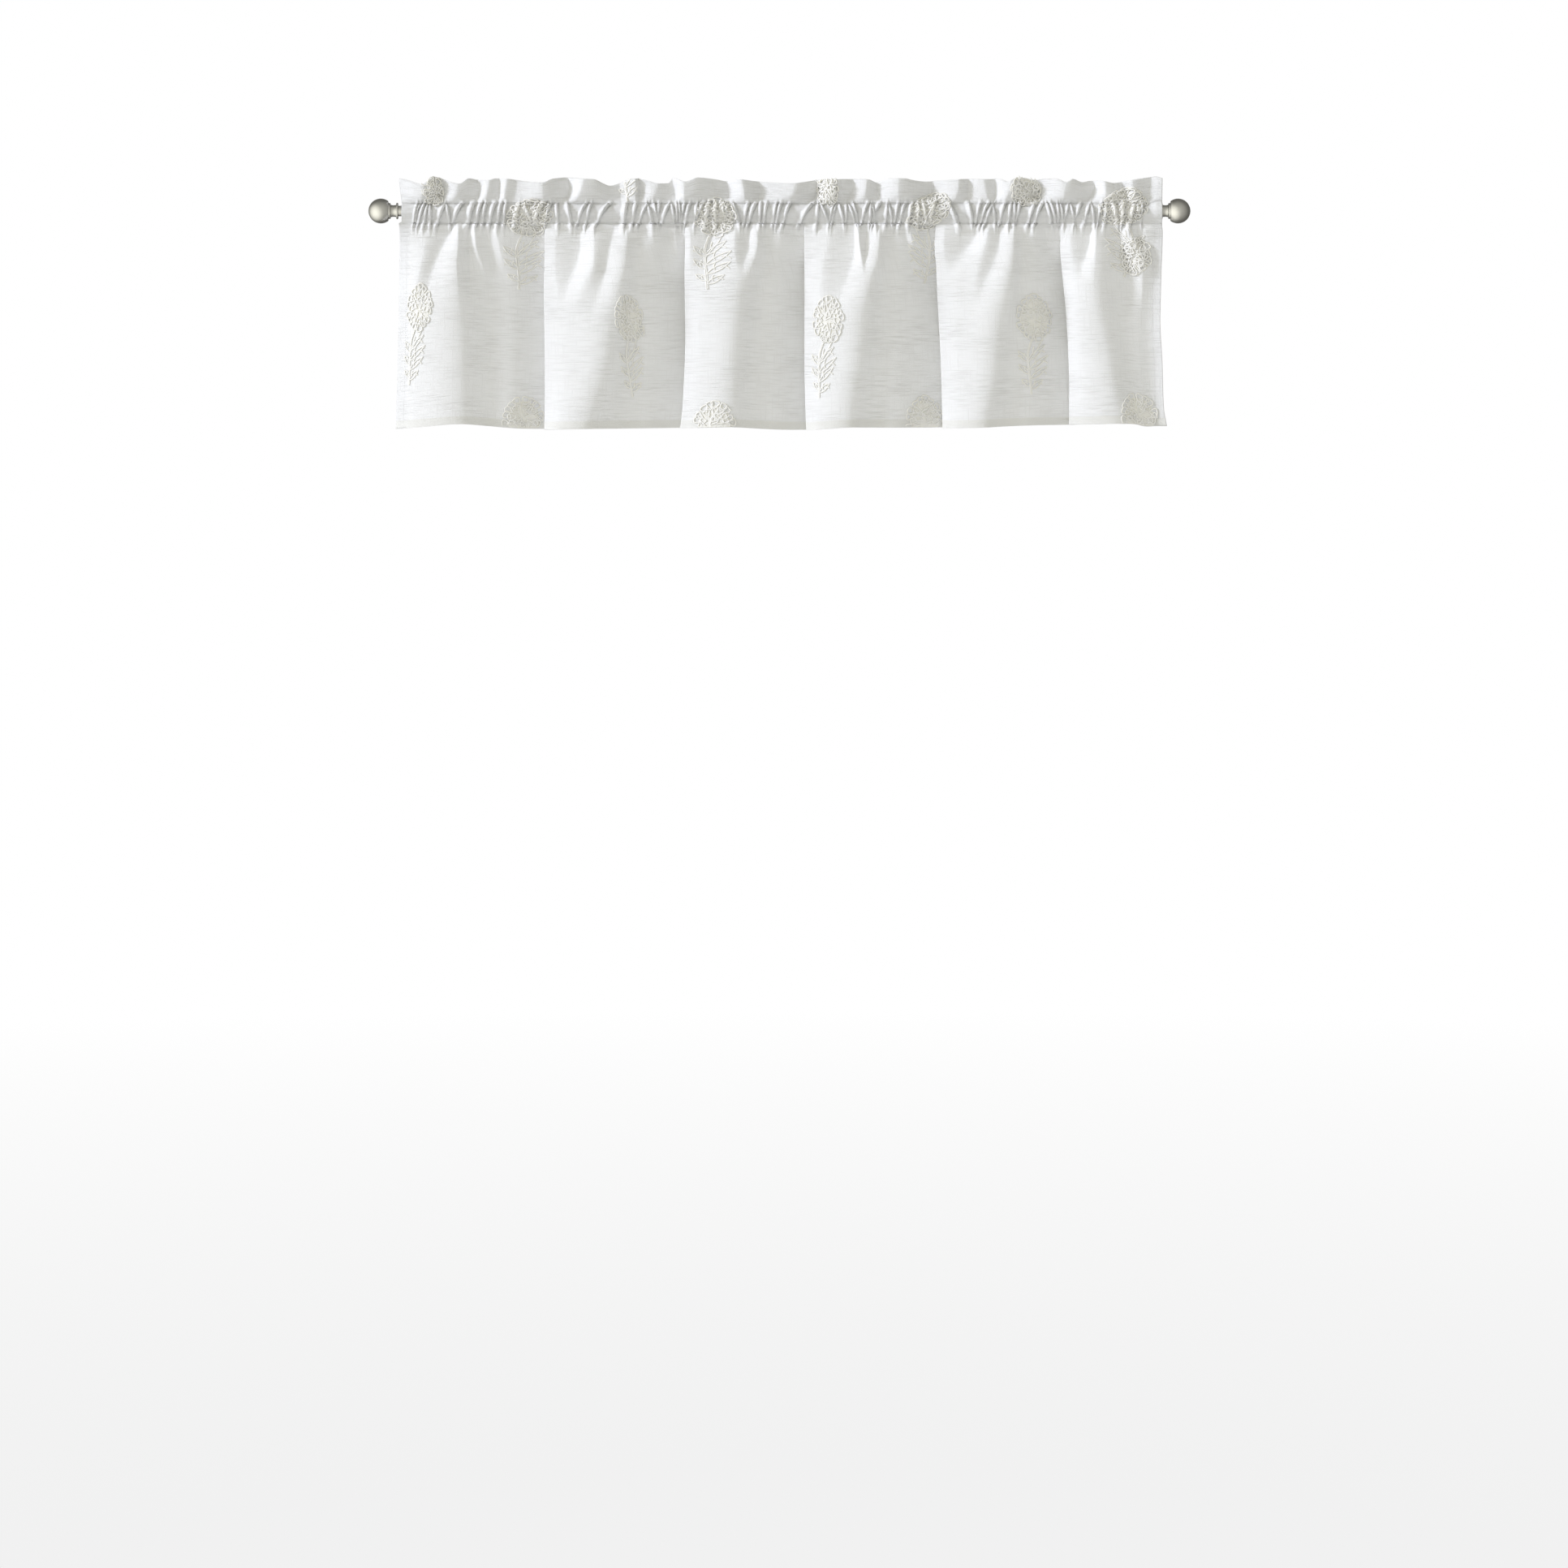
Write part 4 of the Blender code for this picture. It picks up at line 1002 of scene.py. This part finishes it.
# %% [markdown]
# ## Materials
#
# The cloth is semi-sheer: about a tenth of the light that meets it comes out on the other side. So its
# shader mixes a rough white surface with a translucent one. Slubs, thicker stretches of the weft, run
# along the width in the flat coordinates. They are a little darker and denser, and they stand out in the
# bump. The metal has fine lines round its axis, as turned and brushed nickel has.

# %% Helpers for materials
def new_material(name):
    material = bpy.data.materials.new(name)
    material.use_nodes = True
    material.node_tree.nodes.clear()
    return material, material.node_tree


def stretched_noise(tree, source, scale, detail=2.0):
    stretched = put(tree, "ShaderNodeMapping", {"Vector": source, "Scale": scale})
    return put(tree, "ShaderNodeTexNoise", {"Vector": stretched, "Scale": 1.0, "Detail": detail})


def remap(tree, value, low, high, to_low, to_high):
    return put(tree, "ShaderNodeMapRange", {"Value": value, "From Min": low, "From Max": high,
                                            "To Min": to_low, "To Max": to_high})


def blend_colour(tree, factor, a, b):
    a, b = ((*colour, 1.0) if isinstance(colour, tuple) else colour for colour in (a, b))
    return put(tree, "ShaderNodeMix", {"Factor": factor, "A": a, "B": b}, "Result", data_type="RGBA")


def mixed_surface(tree, share, near, far):
    mixed = put(tree, "ShaderNodeMixShader", {"Fac": share, 1: near, 2: far})
    put(tree, "ShaderNodeOutputMaterial", {"Surface": mixed})


def bumped(tree, height, strength, distance):
    return put(tree, "ShaderNodeBump", {"Height": height, "Strength": strength, "Distance": distance})


print("helpers for materials:", stretched_noise.__name__, remap.__name__, blend_colour.__name__)

# %% White slub cloth
WEFT_STRETCH, WARP_STRETCH, PATCH_STRETCH, WEAVE_SCALE = (28, 600, 1), (380, 22, 1), (9, 26, 1), 1400.0
# The hem colour is painted shade: the doubled hem band is drawn darker and warmer than the rest of the cloth.
CLOTH_WHITE, SLUB_WHITE, HEM_PAINTED_SHADE = (0.945, 0.945, 0.94), (0.82, 0.815, 0.80), (0.89, 0.885, 0.85)
LIGHT_THROUGH, SLUB_THROUGH, HEM_THROUGH = 0.105, 0.08, 0.5
# Where each noise starts to show and is full, and how strongly.
WEFT_SHOWS, WARP_SHOWS, PATCH_SHOWS = (0.47, 0.70, 0.0, 1.0), (0.52, 0.74, 0.0, 1.0), (0.35, 0.65, 0.35, 1.0)
WARP_SHARE, WEAVE_SHARE, CLOTH_BUMP, HEM_EDGE = 0.45, 0.25, 0.0005, (0.0120, 0.0126, 1.0, 0.0)


def slub_cloth():
    material, tree = new_material("white slub cloth")
    flat = put(tree, "ShaderNodeUVMap", {}, uv_map="flat cloth")
    weft = remap(tree, stretched_noise(tree, flat, WEFT_STRETCH, 2.5), *WEFT_SHOWS)
    warp = remap(tree, stretched_noise(tree, flat, WARP_STRETCH), *WARP_SHOWS)
    patch = remap(tree, stretched_noise(tree, flat, PATCH_STRETCH), *PATCH_SHOWS)
    weft = maths(tree, "MULTIPLY", weft, patch)
    slub = maths(tree, "MAXIMUM", weft, maths(tree, "MULTIPLY", warp, WARP_SHARE))
    weave = put(tree, "ShaderNodeTexChecker", {"Vector": flat, "Scale": WEAVE_SCALE}, "Fac")
    from_hem = maths(tree, "ABSOLUTE", put(tree, "ShaderNodeSeparateXYZ", {"Vector": flat}, "Y"), 0.0)
    hem = remap(tree, from_hem, *HEM_EDGE)
    # Along the hem band the cloth lets less light through, and its colour there is a painted shade of the
    # doubled cloth.
    colour = blend_colour(tree, hem, blend_colour(tree, slub, CLOTH_WHITE, SLUB_WHITE), HEM_PAINTED_SHADE)
    share = maths(tree, "MULTIPLY", remap(tree, slub, 0.0, 1.0, LIGHT_THROUGH, SLUB_THROUGH),
                  remap(tree, hem, 0.0, 1.0, 1.0, HEM_THROUGH))
    height = maths(tree, "ADD", slub, maths(tree, "MULTIPLY", weave, WEAVE_SHARE))
    normal = bumped(tree, height, 1.0, CLOTH_BUMP)
    surface = put(tree, "ShaderNodeBsdfPrincipled", {"Base Color": colour, "Roughness": 0.9,
                                                     "Specular IOR Level": 0.15, "Normal": normal})
    through = put(tree, "ShaderNodeBsdfTranslucent", {"Color": colour, "Normal": normal})
    mixed_surface(tree, share, surface, through)
    return material


CLOTH = slub_cloth()
print("cloth shader:", len(CLOTH.node_tree.nodes), "nodes")

# %% Threads
CREAM, CREAM_SHADE, THREAD_INSIDE = (0.985, 0.98, 0.97), (0.965, 0.955, 0.93), (0.91, 0.85, 0.40)
FILL_CREAM, FILL_SHADE, FILL_INSIDE = (0.985, 0.98, 0.965), (0.965, 0.955, 0.925), (0.90, 0.83, 0.37)
SEWING_WHITE, SEWING_SHADE, SEWING_INSIDE = (0.97, 0.97, 0.965), (0.94, 0.94, 0.93), (0.95, 0.95, 0.94)


def spun_thread(name, light, dark, inside, share, grain=900, detail=2.0, bump=(0.5, 0.0003),
                rough=0.7, shine=0.3):
    material, tree = new_material(name)
    place = put(tree, "ShaderNodeTexCoord", {}, "Object")
    strand = stretched_noise(tree, place, (grain, grain, grain), detail)
    surface = put(tree, "ShaderNodeBsdfPrincipled", {
        "Base Color": blend_colour(tree, strand, light, dark), "Roughness": rough,
        "Specular IOR Level": shine, "Normal": bumped(tree, strand, *bump)})
    through = put(tree, "ShaderNodeBsdfTranslucent", {"Color": (*inside, 1.0)})
    mixed_surface(tree, share, surface, through)
    return material


FILL = spun_thread("close-set cream stitches", FILL_CREAM, FILL_SHADE, FILL_INSIDE, 0.18, grain=420,
                   detail=3.0, bump=(0.6, 0.0010), rough=0.85, shine=0.2)
THREAD = spun_thread("cream looped thread", CREAM, CREAM_SHADE, THREAD_INSIDE, 0.16)
SEWING = spun_thread("white sewing thread", SEWING_WHITE, SEWING_SHADE, SEWING_INSIDE, 0.15)
print("threads:", FILL.name + ",", THREAD.name, "and", SEWING.name)

# %% Satin nickel
NICKEL_DARK, NICKEL_PALE = (0.60, 0.59, 0.56), (0.68, 0.67, 0.64)
BRUSH_STRETCH, CLOUD_STRETCH, BRUSH_ROUGH = (2600, 60, 60), (60, 60, 60), (0.3, 0.7, 0.30, 0.42)


def satin_nickel():
    material, tree = new_material("satin nickel")
    place = put(tree, "ShaderNodeTexCoord", {}, "Object")
    lines = stretched_noise(tree, place, BRUSH_STRETCH, 3.0)
    cloudy = stretched_noise(tree, place, CLOUD_STRETCH)
    surface = put(tree, "ShaderNodeBsdfPrincipled", {
        "Base Color": blend_colour(tree, cloudy, NICKEL_DARK, NICKEL_PALE), "Metallic": 1.0,
        "Roughness": remap(tree, lines, *BRUSH_ROUGH), "Normal": bumped(tree, lines, 0.12, 0.0002)})
    put(tree, "ShaderNodeOutputMaterial", {"Surface": surface})
    return material


NICKEL = satin_nickel()
print("materials:", ", ".join(material.name for material in (CLOTH, FILL, THREAD, SEWING, NICKEL)))

# %% Dress the cloth
cloth = add_piece("valance_cloth", cloth_mesh, CLOTH, "valance_cloth", "valance_panel")
on_it, above = zip(*thread_lines)
embroidery_mesh = grow("sprig_threads", line_mesh("sprig lines", on_it, above), looped_thread, THREAD)
embroidery = add_piece("sprig_threads", embroidery_mesh, THREAD, "valance_cloth")
heads = add_piece("sprig_heads", grid_mesh("sprig_heads", fills), FILL, "valance_cloth")
stitch_mesh = grow("sewn_stitches", line_mesh("stitch lines", stitch_lines), sewn_stitches, SEWING)
stitches = add_piece("sewn_stitches", stitch_mesh, SEWING, "valance_cloth")

# %% [markdown]
# ## Rod and finials
#
# The rod is a thin steel tube. At each end a turned neck with a flange is pushed in, and a ball with a
# bead at its foot screws into the neck. All of them are turned shapes, so each is one outline spun round
# the rod's axis. The outlines repeat the CAD's sizes with finer steps and rounded edges.

# %% Helpers for turned pieces
TURN_STEPS, SHARP_ANGLE = 96, 40


def turned(name, outline, side, *replaced):
    """Spin an outline of (distance from the axis, distance along it) round the rod's axis."""
    angles = np.linspace(0, 2 * math.pi, TURN_STEPS, endpoint=False)
    verts, faces, rings = [], [], []
    for radius, along in outline:
        spokes = angles if radius > 0 else angles[:1]
        rings.append(range(len(verts), len(verts) + len(spokes)))
        verts += [(side * along * MM, radius * math.cos(a) * MM, radius * math.sin(a) * MM) for a in spokes]
    for a, b in zip(rings, rings[1:]):
        for k in range(TURN_STEPS):
            n = (k + 1) % TURN_STEPS
            corners = dict.fromkeys((a[k % len(a)], a[n % len(a)], b[n % len(b)], b[k % len(b)]))
            faces.append([*corners][::side])
    mesh = bpy.data.meshes.new(name)
    mesh.from_pydata(verts, [], faces)
    mesh.validate()
    mesh.shade_smooth()
    mesh.set_sharp_from_angle(angle=math.radians(SHARP_ANGLE))
    return add_piece(name, mesh, NICKEL, "satin_nickel", *replaced)


def rounded(points, radius, steps):
    """Round each inner corner of an outline with a small arc."""
    points = [np.array(p, float) for p in points]
    out = [points[0]]
    for a, b, c in zip(points, points[1:], points[2:]):
        reach = min(radius, 0.45 * np.linalg.norm(b - a), 0.45 * np.linalg.norm(c - b))
        start = b + (a - b) / np.linalg.norm(a - b) * reach
        end = b + (c - b) / np.linalg.norm(c - b) * reach
        for k in range(steps + 1):
            t = k / steps
            out.append((1 - t) ** 2 * start + 2 * t * (1 - t) * b + t ** 2 * end)
    return out + [points[-1]]


print("one turn has", TURN_STEPS, "steps")

# %% Outlines of the turned pieces
ROD_END, ROD_RADIUS, ROD_BORE, SEAT_GAP = 577.2, 8.0, 7.0, 0.3
FLANGE, FLANGE_RADIUS, NECK, NECK_RADIUS, WAIST, SPIGOT, SPIGOT_RADIUS = 2.5, 12.2, 8.5, 9.35, 0.65, 20, 6.7
BALL_RADIUS, BALL_REACH, BEAD_RADIUS, BEAD_LENGTH = 18.75, 15.1, 12.0, 3.6
STUD_RADIUS, SOCKET_RADIUS, BALL_STEPS, WAIST_STEPS = 2.5, 2.8, 40, 10
BEAD_ROUND, RIM_ROUND, FLANGE_ROUND = (1.2, 6), (0.8, 4), (0.6, 4)

neck_start, neck_end = ROD_END + FLANGE, ROD_END + FLANGE + NECK
ball_foot, ball_centre = neck_end + SEAT_GAP, neck_end + BALL_REACH
bead_top = ball_foot + BEAD_LENGTH
ball_end = math.asin((bead_top - ball_centre) / BALL_RADIUS)
ball_arc = [(BALL_RADIUS * math.cos(a), ball_centre + BALL_RADIUS * math.sin(a))
            for a in np.linspace(math.pi / 2, ball_end, BALL_STEPS)[1:]]
waist = [(NECK_RADIUS - WAIST * math.sin(math.pi * t), neck_start + NECK * (1 - t))
         for t in np.linspace(0.1, 1, WAIST_STEPS)]
bead = rounded([ball_arc[-1], (BEAD_RADIUS, bead_top), (BEAD_RADIUS, ball_foot),
                (STUD_RADIUS, ball_foot)], *BEAD_ROUND)
ball_outline = [(0.0, ball_centre + BALL_RADIUS), *ball_arc, *bead[1:], (0.0, ball_foot)]
rim = rounded([(SOCKET_RADIUS, neck_end), (NECK_RADIUS, neck_end), waist[0]], *RIM_ROUND)
flange = rounded([waist[-1], (FLANGE_RADIUS, neck_start), (FLANGE_RADIUS, ROD_END),
                  (SPIGOT_RADIUS, ROD_END)], *FLANGE_ROUND)
neck_outline = [(0.0, neck_end), *rim[:-1], *waist, *flange[1:],
                (SPIGOT_RADIUS, ROD_END - SPIGOT), (0.0, ROD_END - SPIGOT)]
print("ball outline:", len(ball_outline), "points, neck outline:", len(neck_outline), "points")

# %% Turn the finials and the rod
for word, side in (("left", -1), ("right", 1)):
    turned("finial_ball_" + word + "_turned", ball_outline, side, "finial_ball_" + word)
    turned("finial_neck_" + word + "_turned", neck_outline, side, "finial_neck_" + word)
tube_end = ROD_END - SEAT_GAP
rod = turned("curtain_rod_tube", [(ROD_BORE, tube_end), (ROD_RADIUS, tube_end), (ROD_RADIUS, -tube_end),
                                  (ROD_BORE, -tube_end), (ROD_BORE, tube_end)], 1, "curtain_rod")

# %% [markdown]
# ## Floor, light and camera
#
# A low sun-like light from the left rakes over the folds. A white surround, brighter on the left, fills
# the shadows and shines through the cloth from behind. The camera stands far off with a long lens, so the
# object looks as flat as in a shop photograph.

# %% Floor
FLOOR_HEIGHT, FLOOR_HALF, FLOOR_GREY = -2.15, 60.0, (0.9, 0.9, 0.9, 1.0)
# Strength of the floor's painted glow for camera rays, by distance: dimmer near the middle as a painted pale
# shade under the object, and white far off.
FLOOR_GLOW_AND_PAINTED_SHADE = 2.5, 9.0, 0.88, 1.0

floor_mesh = bpy.data.meshes.new("pale floor")
floor_mesh.from_pydata([(x * FLOOR_HALF, y * FLOOR_HALF, FLOOR_HEIGHT)
                        for x, y in ((-1, -1), (1, -1), (1, 1), (-1, 1))], [], [(0, 1, 2, 3)])
floor_material, tree = new_material("pale floor")
place = put(tree, "ShaderNodeTexCoord", {}, "Object")
away = put(tree, "ShaderNodeVectorMath", {0: place}, "Value", operation="LENGTH")
lit = put(tree, "ShaderNodeBsdfDiffuse", {"Color": FLOOR_GREY})
# Seen by the camera the floor is painted light, an emission with a painted pale shade near the middle. All
# other rays meet the plain pale grey diffuse floor.
seen = put(tree, "ShaderNodeEmission", {"Strength": remap(tree, away, *FLOOR_GLOW_AND_PAINTED_SHADE)})
mixed_surface(tree, put(tree, "ShaderNodeLightPath", {}, "Is Camera Ray"), lit, seen)
floor_mesh.materials.append(floor_material)
floor = bpy.data.objects.new("pale floor", floor_mesh)
bpy.context.scene.collection.objects.link(floor)
floor.visible_glossy = False
print("floor", -FLOOR_HEIGHT, "m under the rod")

# %% White surround
FRONT_LIGHT, BACK_LIGHT, SIDE_LIGHT, SEEN_LIGHT = 0.705, 0.70, 0.45, 1.0
METAL_DARK, METAL_FRONT, METAL_LAMP = 0.16, 0.62, 1.25
METAL_LAMP_SIDE, WARM_WHITE, WHITE = (-0.84, -0.44, -0.30), (1.0, 0.995, 0.92), (1.0, 1.0, 1.0)

world = bpy.data.worlds.new("white surround")
bpy.context.scene.world = world
world.use_nodes = True
tree = world.node_tree
tree.nodes.clear()
direction = put(tree, "ShaderNodeTexCoord", {}, "Generated")
split = put(tree, "ShaderNodeSeparateXYZ", {"Vector": direction}).node.outputs
rays = put(tree, "ShaderNodeLightPath", {}).node.outputs
strength = maths(tree, "MULTIPLY", remap(tree, split["Y"], -0.6, 0.6, FRONT_LIGHT, BACK_LIGHT),
                 remap(tree, split["X"], -1.0, 1.0, 1.0 + SIDE_LIGHT, 1.0 - SIDE_LIGHT))


def chosen(ray, otherwise, value):
    """The value for rays of one kind, and otherwise the socket handed in."""
    return put(tree, "ShaderNodeMix", {"Factor": rays[ray], "A": otherwise, "B": value}, "Result")


# The metal sees a large soft lamp on its left and a dim studio behind it, so its rims are dark.
toward_lamp = put(tree, "ShaderNodeVectorMath", {0: direction, 1: METAL_LAMP_SIDE}, "Value",
                  operation="DOT_PRODUCT")
lamp = remap(tree, toward_lamp, 0.25, 0.95, 0.0, METAL_LAMP)
studio = remap(tree, split["Y"], -0.9, 0.3, METAL_FRONT, METAL_DARK)
mirrored = chosen("Is Glossy Ray", strength, maths(tree, "ADD", lamp, studio))
background = put(tree, "ShaderNodeBackground", {
    "Color": blend_colour(tree, rays["Is Camera Ray"], WARM_WHITE, WHITE),
    "Strength": chosen("Is Camera Ray", mirrored, SEEN_LIGHT)})
put(tree, "ShaderNodeOutputWorld", {"Surface": background})

print("surround:", len(tree.nodes), "nodes")

# %% Key light
KEY_FROM_LEFT, KEY_HEIGHT, KEY_WIDTH = (math.radians(angle) for angle in (73.0, 22.0, 10.0))
KEY_POWER, KEY_COLOUR = 2.04, (0.93, 0.965, 1.12)

sun_data = bpy.data.lights.new("key light", "SUN")
sun_data.energy, sun_data.color, sun_data.angle = KEY_POWER, KEY_COLOUR, KEY_WIDTH
sun = bpy.data.objects.new("key light", sun_data)
sun.visible_glossy = False
bpy.context.scene.collection.objects.link(sun)
to_sun = Vector((-math.sin(KEY_FROM_LEFT) * math.cos(KEY_HEIGHT),
                 -math.cos(KEY_FROM_LEFT) * math.cos(KEY_HEIGHT), math.sin(KEY_HEIGHT)))
sun.rotation_euler = to_sun.to_track_quat("Z", "Y").to_euler()
bpy.context.scene.view_settings.view_transform = "Standard"
print("key light from", [round(part, 2) for part in to_sun])

# %% Camera
FRAME = 1932.0
CAMERA_AWAY, CAMERA_HEIGHT, SENSOR, CLIP_END = 10.0, -0.15, 36.0, 100.0

half_frame = FRAME / 2 * STEP * MM
camera_data = bpy.data.cameras.new("front camera")
camera_data.sensor_width = SENSOR
camera_data.sensor_fit = "HORIZONTAL"
camera_data.lens = SENSOR / 2 * CAMERA_AWAY / half_frame
camera_data.clip_end = CLIP_END
camera = bpy.data.objects.new("front camera", camera_data)
bpy.context.scene.collection.objects.link(camera)
bpy.context.scene.camera = camera
camera.location = (0.0, -CAMERA_AWAY, CAMERA_HEIGHT)
rod_drop = math.atan2(CAMERA_HEIGHT, CAMERA_AWAY)
rod_share = (FRAME / 2 - VIEW_ROD) / (FRAME / 2)
tilt = rod_drop + math.atan(rod_share * half_frame / CAMERA_AWAY)
side_turn = math.atan((FRAME / 2 - VIEW_MIDDLE) * STEP * MM / CAMERA_AWAY)
camera.rotation_euler = (math.pi / 2 - tilt, 0.0, -side_turn)
print("lens", round(camera_data.lens, 1), "mm, tilted down", round(math.degrees(tilt), 2), "degrees")
